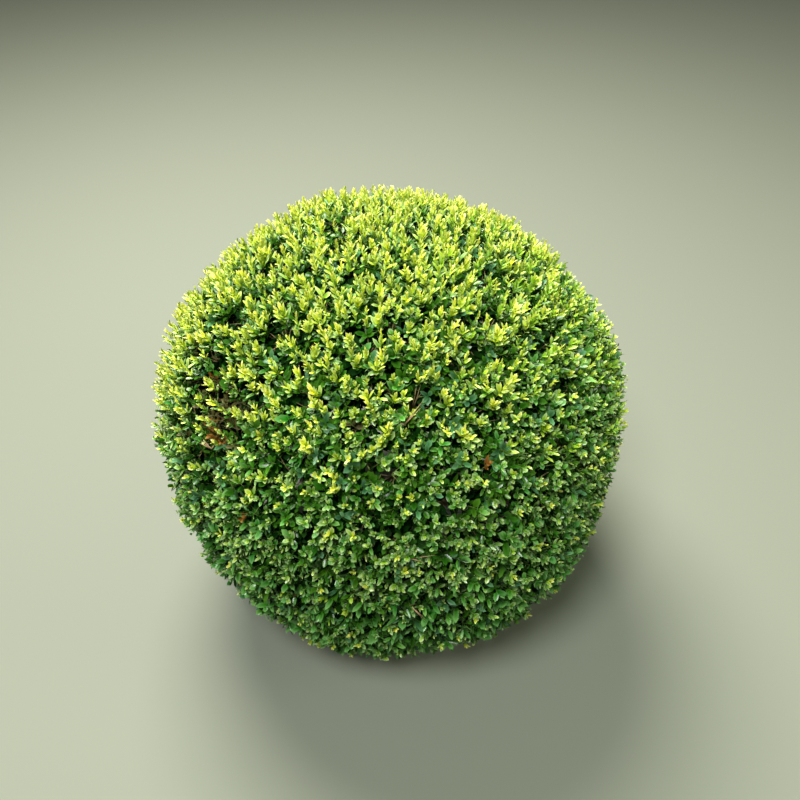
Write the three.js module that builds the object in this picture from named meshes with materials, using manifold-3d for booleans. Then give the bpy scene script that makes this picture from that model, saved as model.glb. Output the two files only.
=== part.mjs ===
// A clipped box ball (topiary) rooted in open ground, as its real structure: a short leaning stem with a
// root flare, a leader and side boughs that rise from it inside the ball, and one clipped mass of foliage,
// a shell of leafy twigs about a hand deep over a bare inside that is open underneath.
// Millimetres, +Z up, ground level at z = 0, the origin at the centre of the flat cut under the stem.
import * as THREE from "three";
import { mergeVertices } from "three/addons/utils/BufferGeometryUtils.js";
import Module from "manifold-3d";

const wasm = await Module();
wasm.setup();

// The clipped outline, to the leaf tips: a low dome above the waist, below it fuller sides that draw in
// towards the ground, and a hem that tucks under.
const BALL_RADIUS = 460;
const WAIST_HEIGHT = 506;
const CROWN_RISE = 379;
const CROWN_FULLNESS = 1.88;
const SKIRT_DROP = 588;
const SKIRT_FULLNESS = 2.29;
const HEM_HEIGHT = 110;
const HEM_TUCK = 0.4;
const GROUND_CLEARANCE = 6;

// Waves left by hand shearing: how many run round, how many run up, how deep and where they start.
const SHEAR_WAVES = [
  { round: 2, up: 3, depth: 6, start: 0.6 },
  { round: 3, up: 2, depth: 5, start: 2.1 },
  { round: 5, up: 4, depth: 3, start: 4.0 },
];

// A bare patch on the left shoulder, where the leaves have died back: its middle, spread and depth.
const BARE_PATCH = { azimuth: -2.43, elevation: 0.36, spread: 0.19, depth: 20 };

// The leafy layer that stands out of the core, the core's wall, and the foot of the core.
const LEAF_LAYER = 62;
const CORE_WALL = 78;
const CORE_FOOT = 34;
const CORE_DETAIL = 5;
const CORE_ROUGHNESS = 8;
const HOLLOW_DETAIL = 2;

// The stem under the fork.
const STEM_HEIGHT = 160;
const STEM_RADIUS = 31;
const STEM_TOP_RADIUS = 22;
const STEM_LEAN = 11;
const FLARE_RADIUS = 18;
const FLARE_HEIGHT = 30;
const FLARE_LOBES = 5;
const FLARE_LOBE_SHARE = 0.3;
const STEM_SIDES = 20;
const STEM_RINGS = 8;

// The boughs: a leader on top of the stem, and side boughs one golden angle apart.
const SIDE_BOUGHS = 8;
const GOLDEN_ANGLE = Math.PI * (3 - Math.sqrt(5));
const FIRST_BOUGH_AZIMUTH = -1.9;
const LOWEST_BOUGH = 42;
const HIGHEST_BOUGH = 100;
const BOUGH_RADIUS = 11;
const BOUGH_TIP_RADIUS = 6;
const COLLAR_SHARE = 0.25;
const COLLAR_FADE = 14;
const LEADER_RADIUS = 16;
const BOUGH_SIDES = 6;
const BOUGH_RINGS = 7;
const BOUGH_SHARE = 0.72;
const BEND_OUT = 0.6;
const BEND_UP = 0.3;
const LEADER_RISE = 0.45;
const LEADER_TOP = new THREE.Vector3(0.12, 0.06, 1).normalize();
const FACE_GAP = 0.3;

// Where the side boughs enter the foliage: shares of the way from the waist to the top, or to the ground.
const BOUGH_REACHES = [-0.34, 0.34, -0.1, 0.52];

// The mass's own stems fork into twigs that enter the wall round each stem.
const FORK_TWIGS = 3;
const FORK_SPREAD = 0.3;
const FORK_RADIUS = 4.2;
const FORK_PLACE = 0.3;
const FORK_BEND = 14;
const STEM_END_RADIUS = 4;

// Tufts: a three-sided twig with an opposite pair of leaves and an end leaf, larger than life.
const TUFTS = 186;
const TWIG_RADIUS = 9;
const TWIG_SHARE = 0.6;
const TWIG_SUNK = 14;
const PAIR_PLACE = 0.6;
const END_LEAF_PLACE = 0.78;
const LEAF_LENGTH = 66;
const LEAF_WIDTH = 34;
const LEAF_THICKNESS = 5;
const LEAF_SPREAD = 0.95;
const LEAF_WAIST = 0.45;
const END_LEAF_LENGTH = 74;
const SHORTEST_LEAF = 34;
const RAGGED_DEPTH = 16;
const LIFT = 0.35;
const WANDER = 0.3;
const LEVEL_JITTER = 0.012;
const AZIMUTH_JITTER = 0.1;
const SEED = 20110521;

const MERGE_DISTANCE = 1e-3;
const HALVINGS = 24;
const UP = new THREE.Vector3(0, 0, 1);

/** A seeded source of numbers from 0 to 1. */
function seededRandom(seed) {
  let state = seed >>> 0;
  return () => {
    state = (state + 0x6d2b79f5) >>> 0;
    let mixed = Math.imul(state ^ (state >>> 15), 1 | state);
    mixed = (mixed + Math.imul(mixed ^ (mixed >>> 7), 61 | mixed)) ^ mixed;
    return ((mixed ^ (mixed >>> 14)) >>> 0) / 4294967296;
  };
}

/** The direction at an azimuth, and an elevation above the waist, in radians. */
function directionAt(azimuth, elevation) {
  const flat = Math.cos(elevation);
  return new THREE.Vector3(flat * Math.cos(azimuth), flat * Math.sin(azimuth), Math.sin(elevation));
}

/** How far the shears and the bare patch leave the surface proud of the plain outline in a direction. */
function unevenness(direction) {
  const azimuth = Math.atan2(direction.y, direction.x);
  const level = Math.hypot(direction.x, direction.y);
  const waves = SHEAR_WAVES.reduce(
    (sum, { round, up, depth, start }) =>
      sum + depth * level * Math.sin(round * azimuth + start) * Math.cos(up * direction.z + start),
    0,
  );
  const aside = direction.angleTo(directionAt(BARE_PATCH.azimuth, BARE_PATCH.elevation)) / BARE_PATCH.spread;
  return waves - BARE_PATCH.depth * Math.exp(-aside * aside);
}

/** The distance from the waist's centre, in a unit direction, to the outline drawn in by a depth. */
function reachOf(direction, depth) {
  const level = Math.hypot(direction.x, direction.y);
  const upper = direction.z >= 0;
  const fullness = upper ? CROWN_FULLNESS : SKIRT_FULLNESS;
  const height = upper ? CROWN_RISE - depth : SKIRT_DROP;
  const round = (level / (BALL_RADIUS - depth)) ** fullness;
  const tall = (Math.abs(direction.z) / height) ** fullness;
  return (round + tall) ** (-1 / fullness) + unevenness(direction);
}

/** How much the hem is drawn in at a height: 1 at its top and above, least at the ground. */
function tuckAt(height) {
  return 1 - HEM_TUCK * THREE.MathUtils.clamp(1 - height / HEM_HEIGHT, 0, 1) ** 2;
}

/** The point of the surface at a depth under the outline, in a direction from the waist's centre. */
function shellPoint(direction, depth) {
  const point = direction.clone().multiplyScalar(reachOf(direction, depth));
  point.z += WAIST_HEIGHT;
  const tuck = tuckAt(point.z);
  return point.multiply(new THREE.Vector3(tuck, tuck, 1));
}

/** How far a point lies inside the outline; negative outside. */
function depthInside(point) {
  const tuck = tuckAt(point.z);
  const fromCentre = new THREE.Vector3(point.x / tuck, point.y / tuck, point.z - WAIST_HEIGHT);
  const distance = fromCentre.length();
  return reachOf(fromCentre.divideScalar(distance), 0) - distance;
}

/** The outward normal of the plain outline in a direction from the waist's centre. */
function outwardNormal(direction) {
  const upper = direction.z >= 0;
  const fullness = upper ? CROWN_FULLNESS : SKIRT_FULLNESS;
  const height = upper ? CROWN_RISE : SKIRT_DROP;
  const level = Math.hypot(direction.x, direction.y);
  const outward = level ** (fullness - 1) / BALL_RADIUS ** fullness;
  const vertical = (Math.sign(direction.z) * Math.abs(direction.z) ** (fullness - 1)) / height ** fullness;
  const side = new THREE.Vector3(direction.x, direction.y, 0).normalize();
  return side.multiplyScalar(outward).addScaledVector(UP, vertical).normalize();
}

/** How far one can go from a point in a direction before the outline, less a depth, is met. */
function roomToGrow(from, direction, depth) {
  let near = 0;
  let far = 2 * BALL_RADIUS;
  for (let step = 0; step < HALVINGS; step += 1) {
    const middle = (near + far) / 2;
    if (depthInside(from.clone().addScaledVector(direction, middle)) > depth) near = middle;
    else far = middle;
  }
  return near;
}

/** A closed geometry as a solid, its shared corners merged. */
function solidOf(geometry) {
  const bare = geometry.clone();
  bare.deleteAttribute("normal");
  bare.deleteAttribute("uv");
  const merged = mergeVertices(bare, MERGE_DISTANCE);
  return new wasm.Manifold(
    new wasm.Mesh({
      numProp: 3,
      vertProperties: new Float32Array(merged.attributes.position.array),
      triVerts: new Uint32Array(merged.index.array),
    }),
  );
}

/** A solid as a geometry. */
function geometryOf(solid) {
  const mesh = solid.getMesh();
  const geometry = new THREE.BufferGeometry();
  geometry.setAttribute("position", new THREE.BufferAttribute(mesh.vertProperties, 3));
  geometry.setIndex(new THREE.BufferAttribute(mesh.triVerts, 1));
  geometry.computeVertexNormals();
  return geometry;
}

/** Solids fused into one body, with the pockets that this seals filled and loose scraps dropped. */
function fused(solids) {
  const joined = solidOf(geometryOf(wasm.Manifold.union(solids)));
  return joined.decompose().reduce((largest, shell) => (shell.volume() > largest.volume() ? shell : largest));
}

/** Moves every corner of a geometry by a rule from its old place to its new one. */
function reshape(geometry, rule) {
  const places = geometry.attributes.position;
  const corner = new THREE.Vector3();
  for (let i = 0; i < places.count; i += 1) {
    corner.fromBufferAttribute(places, i);
    const moved = rule(corner);
    places.setXYZ(i, moved.x, moved.y, moved.z);
  }
  return geometry;
}

/**
 * A tapering limb round a stretch of a curve, cut square at its foot, and cut square or pointed at its tip.
 * radiusAt(along, angle) gives its radius, with along running from 0 to 1 over the stretch.
 */
function limb(curve, { from = 0, to = 1, sides, rings, radiusAt, pointed = false }) {
  const stretch = new THREE.CatmullRomCurve3(
    Array.from({ length: rings + 1 }, (_, i) => curve.getPoint(from + ((to - from) * i) / rings)),
  );
  const tangents = Array.from({ length: rings + 1 }, (_, i) =>
    curve.getTangent(from + ((to - from) * i) / rings),
  );
  const frames = stretch.computeFrenetFrames(rings);
  return reshape(new THREE.CylinderGeometry(pointed ? 0 : 1, 1, 1, sides, rings), (corner) => {
    const along = corner.y + 0.5;
    const ring = Math.round(along * rings);
    const tangent = tangents[ring];
    const across = frames.normals[ring].clone().projectOnPlane(tangent).normalize();
    const beside = across.clone().cross(tangent);
    const radius = radiusAt(along, Math.atan2(corner.z, corner.x));
    return curve
      .getPoint(from + (to - from) * along)
      .addScaledVector(across, corner.x * radius)
      .addScaledVector(beside, corner.z * radius);
  });
}

/** The stem's line: upright where it leaves the ground, then leaning a little. */
function stemLine() {
  return new THREE.QuadraticBezierCurve3(
    new THREE.Vector3(0, 0, 0),
    new THREE.Vector3(0, 0, 0.6 * STEM_HEIGHT),
    new THREE.Vector3(STEM_LEAN, 0.5 * STEM_LEAN, STEM_HEIGHT),
  );
}

/** The stem as a solid, swollen by a clearance: its taper, and a root flare in lobes that fades upwards. */
function stemSolid(clearance) {
  const radiusAt = (along, angle) => {
    const fade = Math.exp((-along * STEM_HEIGHT) / FLARE_HEIGHT);
    const lobes = 1 + FLARE_LOBE_SHARE * Math.sin(FLARE_LOBES * angle);
    const taper = THREE.MathUtils.lerp(STEM_RADIUS, STEM_TOP_RADIUS, along);
    return taper + FLARE_RADIUS * fade * lobes + clearance;
  };
  return solidOf(limb(stemLine(), { sides: STEM_SIDES, rings: STEM_RINGS, radiusAt }));
}

/** The lines of all boughs, from the stem into the wall of foliage, with the leader first. */
function boughLines() {
  const stem = stemLine();
  const fork = stem.getPoint(1).addScaledVector(stem.getTangent(1), FACE_GAP);
  const middleOfWall = LEAF_LAYER + CORE_WALL / 2;
  const top = shellPoint(LEADER_TOP, middleOfWall);
  const lean = fork.clone().addScaledVector(stem.getTangent(1), LEADER_RISE * (top.z - fork.z));
  const lines = [new THREE.QuadraticBezierCurve3(fork, lean, top)];
  for (let i = 0; i < SIDE_BOUGHS; i += 1) {
    const azimuth = FIRST_BOUGH_AZIMUTH + i * GOLDEN_ANGLE;
    const outward = directionAt(azimuth, 0);
    const height = THREE.MathUtils.lerp(LOWEST_BOUGH, HIGHEST_BOUGH, i / (SIDE_BOUGHS - 1));
    const root = stem.getPoint(height / STEM_HEIGHT).addScaledVector(outward, STEM_TOP_RADIUS / 3);
    const reach = BOUGH_REACHES[i % BOUGH_REACHES.length];
    const end = shellPoint(directionAt(azimuth, (reach * Math.PI) / 2), middleOfWall);
    const rise = end.z - root.z;
    const bend = root
      .clone()
      .addScaledVector(outward, BEND_OUT * Math.hypot(end.x, end.y))
      .addScaledVector(UP, BEND_UP * rise);
    lines.push(new THREE.QuadraticBezierCurve3(root, bend, end));
  }
  return lines;
}

/** A bough: its line up to where it enters the foliage, cut clear of the stem that carries it. */
function boughSolid(line, rootRadius, stemAround) {
  const radiusAt = (along) => {
    const collar = 1 + COLLAR_SHARE * Math.exp(-along * COLLAR_FADE);
    return THREE.MathUtils.lerp(rootRadius, BOUGH_TIP_RADIUS, along) * collar;
  };
  const whole = solidOf(limb(line, { to: BOUGH_SHARE, sides: BOUGH_SIDES, rings: BOUGH_RINGS, radiusAt }));
  return stemAround ? whole.subtract(stemAround) : whole;
}

/** The foliage's own stem, which goes on from a bough's tip into the wall, and the twigs it forks into. */
function forkSolids(line, random) {
  const from = BOUGH_SHARE + FACE_GAP / line.getLength();
  const stem = limb(line, {
    from,
    sides: BOUGH_SIDES,
    rings: 1,
    radiusAt: (along) => THREE.MathUtils.lerp(BOUGH_TIP_RADIUS, STEM_END_RADIUS, along),
  });
  const solids = [solidOf(stem)];
  const root = line.getPoint(THREE.MathUtils.lerp(from, 1, FORK_PLACE));
  const heading = line.getPoint(1).setZ(line.getPoint(1).z - WAIST_HEIGHT).normalize();
  const first = random() * Math.PI * 2;
  for (let i = 0; i < FORK_TWIGS; i += 1) {
    const turn = first + (i * Math.PI * 2) / FORK_TWIGS;
    const aside = new THREE.Vector3().crossVectors(heading, UP).normalize().applyAxisAngle(heading, turn);
    const towards = heading.clone().addScaledVector(aside, FORK_SPREAD).normalize();
    const end = shellPoint(towards, LEAF_LAYER + CORE_WALL / 2);
    const bend = root.clone().lerp(end, 0.5).addScaledVector(aside, FORK_BEND);
    const twig = new THREE.QuadraticBezierCurve3(root, bend, end);
    solids.push(solidOf(limb(twig, { sides: 3, rings: 1, radiusAt: () => FORK_RADIUS, pointed: true })));
  }
  return solids;
}

/** The dense core of the clipped mass: a rough-skinned wall round the bare inside, open underneath. */
function coreSolid(random) {
  const ball = (detail, depth, roughness, foot) => {
    const bare = new THREE.IcosahedronGeometry(1, detail);
    bare.deleteAttribute("normal");
    bare.deleteAttribute("uv");
    return reshape(mergeVertices(bare), (corner) => {
      const rough = (random() - 0.5) * 2 * roughness;
      const point = shellPoint(corner.clone().normalize(), depth + rough);
      return point.setZ(Math.max(point.z, foot));
    });
  };
  const skin = ball(CORE_DETAIL, LEAF_LAYER, CORE_ROUGHNESS, CORE_FOOT);
  const hollow = ball(HOLLOW_DETAIL, LEAF_LAYER + CORE_WALL, 0, -CORE_FOOT);
  return solidOf(skin).subtract(solidOf(hollow));
}

/** A leaf of six faces from its root to its tip, flat above and keeled along its midrib below. */
function leafSolid(root, direction, length, upward) {
  const side = new THREE.Vector3().crossVectors(upward, direction).normalize();
  const below = new THREE.Vector3().crossVectors(side, direction);
  const width = (LEAF_WIDTH * length) / LEAF_LENGTH;
  const across = [side.clone().multiplyScalar(width / 2), side.clone().multiplyScalar(-width / 2)];
  const rim = [...across, below.multiplyScalar(LEAF_THICKNESS)];
  const corners = [
    root,
    ...rim.map((edge) => root.clone().addScaledVector(direction, LEAF_WAIST * length).add(edge)),
    root.clone().addScaledVector(direction, length),
  ];
  const leaf = new THREE.BufferGeometry().setFromPoints(corners);
  leaf.setIndex([0, 2, 1, 0, 3, 2, 0, 1, 3, 4, 1, 2, 4, 2, 3, 4, 3, 1]);
  return solidOf(leaf);
}

/** One tuft: a twig out of the core, an opposite pair of leaves on it and a leaf at its end. */
function tuftSolids(direction, random) {
  const root = shellPoint(direction, LEAF_LAYER + TWIG_SUNK);
  const growth = outwardNormal(direction).addScaledVector(UP, LIFT);
  growth.x += (random() - 0.5) * WANDER;
  growth.y += (random() - 0.5) * WANDER;
  growth.normalize();
  const ragged = random() * RAGGED_DEPTH;
  const tip = root.clone().addScaledVector(growth, TWIG_SHARE * roomToGrow(root, growth, ragged));
  const line = new THREE.LineCurve3(root, tip);
  const solids = [solidOf(limb(line, { sides: 3, rings: 1, radiusAt: () => TWIG_RADIUS, pointed: true }))];
  const across = new THREE.Vector3(growth.y, -growth.x, 0).normalize();
  across.applyAxisAngle(growth, random() * Math.PI * 2);
  const addLeaf = (place, turn, longest) => {
    const from = root.clone().lerp(tip, place);
    const towards = growth.clone().addScaledVector(across, turn * LEAF_SPREAD).normalize();
    const length = Math.min(longest, roomToGrow(from, towards, ragged));
    const lowest = from.z + towards.z * length;
    if (length < SHORTEST_LEAF || lowest < GROUND_CLEARANCE) return;
    solids.push(leafSolid(from, towards, length, turn === 0 ? across : growth));
  };
  addLeaf(END_LEAF_PLACE, 0, END_LEAF_LENGTH);
  addLeaf(PAIR_PLACE, -1, LEAF_LENGTH);
  addLeaf(PAIR_PLACE, 1, LEAF_LENGTH);
  return solids;
}

/** Directions spread evenly by the golden angle, down to where the outline is level with the core's foot. */
function tuftDirections(random) {
  const directions = [];
  for (let i = 0; i < TUFTS; i += 1) {
    const level = 1 - (2 * (i + 0.5)) / TUFTS + (random() - 0.5) * LEVEL_JITTER;
    const azimuth = i * GOLDEN_ANGLE + (random() - 0.5) * AZIMUTH_JITTER;
    const direction = directionAt(azimuth, Math.asin(THREE.MathUtils.clamp(level, -1, 1)));
    if (shellPoint(direction, 0).z > CORE_FOOT) directions.push(direction);
  }
  return directions;
}

/** The whole clipped mass as one solid. */
function foliageSolid(lines) {
  const random = seededRandom(SEED);
  const pieces = [coreSolid(random)];
  for (const line of lines) pieces.push(...forkSolids(line, random));
  for (const direction of tuftDirections(random)) pieces.push(...tuftSolids(direction, random));
  return fused(pieces);
}

/** A named mesh of a solid in a material. */
function part(name, solid, material) {
  const mesh = new THREE.Mesh(geometryOf(solid), material);
  mesh.name = name;
  return mesh;
}

const bark = new THREE.MeshStandardMaterial({ color: 0x6f6350, roughness: 0.9, metalness: 0 });
const youngBark = new THREE.MeshStandardMaterial({ color: 0x857754, roughness: 0.85, metalness: 0 });
const leaves = new THREE.MeshStandardMaterial({ color: 0x5f8a26, roughness: 0.55, metalness: 0 });

const plant = new THREE.Group();
const lines = boughLines();
const stemAround = stemSolid(FACE_GAP);

plant.add(part("stem", stemSolid(0), bark));
lines.forEach((line, i) => {
  const name = i === 0 ? "leader" : `bough_${i}`;
  const solid = boughSolid(line, i === 0 ? LEADER_RADIUS : BOUGH_RADIUS, i === 0 ? null : stemAround);
  plant.add(part(name, solid, youngBark));
});
plant.add(part("foliage", foliageSolid(lines), leaves));

export default plant;
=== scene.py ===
"""A clipped box ball rooted in open ground: its stem, boughs, twigs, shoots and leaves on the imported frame.

Metres, +Z up, ground level at z = 0, the origin under the stem. The plant grows from the ground up. The stem
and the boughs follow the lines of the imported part. Branches, branchlets and twigs then fork from one another
out to the clipped outline. The last twigs end in leafy shoots with opposite pairs of leaves.
"""

import logging
import math
from dataclasses import dataclass, field
from enum import Enum

import bpy
import numpy as np
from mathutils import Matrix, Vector, kdtree
from numpy.typing import NDArray


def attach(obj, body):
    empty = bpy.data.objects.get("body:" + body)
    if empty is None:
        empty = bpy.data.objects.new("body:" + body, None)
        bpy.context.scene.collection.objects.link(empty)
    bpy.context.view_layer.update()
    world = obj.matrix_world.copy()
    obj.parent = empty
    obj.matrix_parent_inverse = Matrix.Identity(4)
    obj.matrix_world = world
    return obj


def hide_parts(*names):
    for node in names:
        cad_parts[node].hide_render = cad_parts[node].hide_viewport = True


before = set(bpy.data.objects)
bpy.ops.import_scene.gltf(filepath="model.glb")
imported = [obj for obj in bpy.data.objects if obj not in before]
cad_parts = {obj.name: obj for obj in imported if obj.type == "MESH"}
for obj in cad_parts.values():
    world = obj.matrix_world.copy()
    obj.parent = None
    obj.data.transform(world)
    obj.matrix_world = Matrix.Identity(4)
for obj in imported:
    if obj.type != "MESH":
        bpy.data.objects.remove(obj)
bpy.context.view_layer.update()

log = logging.getLogger("box_ball")

Array = NDArray[np.float64]
Indices = NDArray[np.int64]

BODY = "root"
GOLDEN_ANGLE = math.pi * (3 - math.sqrt(5))
UP = np.array([0.0, 0.0, 1.0])
TINY = 1e-12
MERGED = 1e-6
STEEP = 0.9
NEUTRAL_HUE = 0.5
LEAF_SEED = 77
# A leaf has six faces, which keeps a piece of so many under 200,000 triangles.
MOST_LEAVES_IN_A_PIECE = 33000


def linear(colour: str) -> tuple[float, float, float, float]:
    """Turns an sRGB hex colour into Blender's linear colour.

    Args:
        colour: Six hex digits after a hash sign.

    Returns:
        Red, green, blue and alpha, linear, from 0 to 1.
    """
    shares = [int(colour[i : i + 2], 16) / 255 for i in (1, 3, 5)]
    red, green, blue = (s / 12.92 if s <= 0.04045 else ((s + 0.055) / 1.055) ** 2.4 for s in shares)
    return red, green, blue, 1.0


def add_node(tree: bpy.types.NodeTree, kind: str, settings: dict, links: dict) -> bpy.types.Node:
    """Adds a node with its settings and its incoming links.

    Args:
        tree: The node tree that gets it.
        kind: Blender's name of the node type.
        settings: Values by property name, or by the name or number of an input socket.
        links: Output sockets by the name or number of the input that each feeds.

    Returns:
        The new node.
    """
    node = tree.nodes.new(kind)
    for key, value in settings.items():
        if isinstance(key, str) and hasattr(node, key):
            setattr(node, key, value)
        else:
            node.inputs[key].default_value = value
    for key, source in links.items():
        tree.links.new(source, node.inputs[key])
    return node


def new_material(name: str) -> tuple[bpy.types.Material, bpy.types.NodeTree]:
    """Starts an empty node material.

    Args:
        name: The finish's name.

    Returns:
        The material and its node tree, with no nodes in it.
    """
    material = bpy.data.materials.new(name)
    material.use_nodes = True
    material.node_tree.nodes.clear()
    return material, material.node_tree


def finish_material(
    tree: bpy.types.NodeTree,
    colour: bpy.types.NodeSocket,
    height: bpy.types.NodeSocket,
    relief: dict[str, float],
    surface: dict[str, float],
) -> None:
    """Ends a material's nodes with its fine relief, its shader and the output.

    Args:
        tree: The material's node tree.
        colour: The output that gives its colour.
        height: The output that gives its relief.
        relief: The relief's strength and depth.
        surface: The shader's settings.
    """
    bump = add_node(tree, "ShaderNodeBump", relief, {"Height": height})
    links = {"Base Color": colour, "Normal": bump.outputs["Normal"]}
    shader = add_node(tree, "ShaderNodeBsdfPrincipled", surface, links)
    add_node(tree, "ShaderNodeOutputMaterial", {}, {"Surface": shader.outputs["BSDF"]})


def unit(vectors: Array) -> Array:
    """Vectors scaled to a length of one."""
    return vectors / np.maximum(np.linalg.norm(vectors, axis=-1, keepdims=True), TINY)


def direction_at(azimuth: Array | float, elevation: Array | float) -> Array:
    """Unit vectors at azimuths, and elevations above the level, in radians."""
    level = np.cos(elevation)
    rise = np.sin(elevation) + 0 * azimuth
    return np.stack([level * np.cos(azimuth), level * np.sin(azimuth), rise], axis=-1)


def turned(first: Array, second: Array, angles: Array) -> Array:
    """Vectors turned by angles in radians from a first one towards a second that stands square to it."""
    return first * np.cos(angles)[:, None] + second * np.sin(angles)[:, None]


def spread_directions(count: int, jitter: float, random: np.random.Generator) -> Array:
    """Spreads directions evenly over a sphere by the golden angle, then shakes them.

    Args:
        count: How many directions.
        jitter: How far each may stray, as a share of the spacing.
        random: The seeded source of chance.

    Returns:
        One unit vector a row.
    """
    turn = np.arange(count)
    level = 1 - 2 * (turn + 0.5) / count
    even = direction_at(turn * GOLDEN_ANGLE, np.arcsin(level))
    spacing = math.sqrt(4 * math.pi / count)
    return unit(even + random.normal(size=even.shape) * spacing * jitter)


@dataclass(frozen=True)
class Ripple:
    """Smooth seeded unevenness through space, as level waves that run in all directions.

    Attributes:
        length: The usual distance from crest to crest.
        seed: What the waves' headings and starts are drawn from.
        waves: How many are added up.
        lengths: Their shortest and longest, as shares of the usual.
    """

    length: float
    seed: int
    waves: int = 20
    lengths: tuple[float, float] = (0.75, 1.4)

    def at(self, points: Array) -> Array:
        """Reads the unevenness.

        Args:
            points: One point a row.

        Returns:
            A value for each point, mostly from -2 to 2 with a middle of 0.
        """
        random = np.random.default_rng(self.seed)
        headings = unit(random.normal(size=(self.waves, 3)))
        turns = 2 * math.pi / (self.length * random.uniform(*self.lengths, self.waves))
        starts = random.uniform(0, 2 * math.pi, self.waves)
        phases = points @ (headings * turns[:, None]).T + starts
        return np.cos(phases).sum(axis=-1) * math.sqrt(2 / self.waves)


@dataclass(frozen=True)
class ShearWave:
    """A wave left by hand shearing: how many run round, how many run up, its depth and its start."""

    around: int
    up: int
    depth: float
    start: float


@dataclass(frozen=True)
class Spot:
    """A place on the ball.

    Attributes:
        azimuth: Where it lies round the ball, in degrees.
        elevation: Where it lies above the waist's centre, in degrees.
        spread: Its half width, in degrees.
        measure: How far the growth stands out or stays back at its middle, if it does.
    """

    azimuth: float
    elevation: float
    spread: float
    measure: float = 0.0

    def nearness(self, directions: Array) -> Array:
        """How near each direction is: 1 at the spot's middle, 0 far outside its spread."""
        middle = direction_at(math.radians(self.azimuth), math.radians(self.elevation))
        aside = np.degrees(np.arccos(np.clip(directions @ middle, -1, 1))) / self.spread
        return np.exp(-aside * aside)


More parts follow.
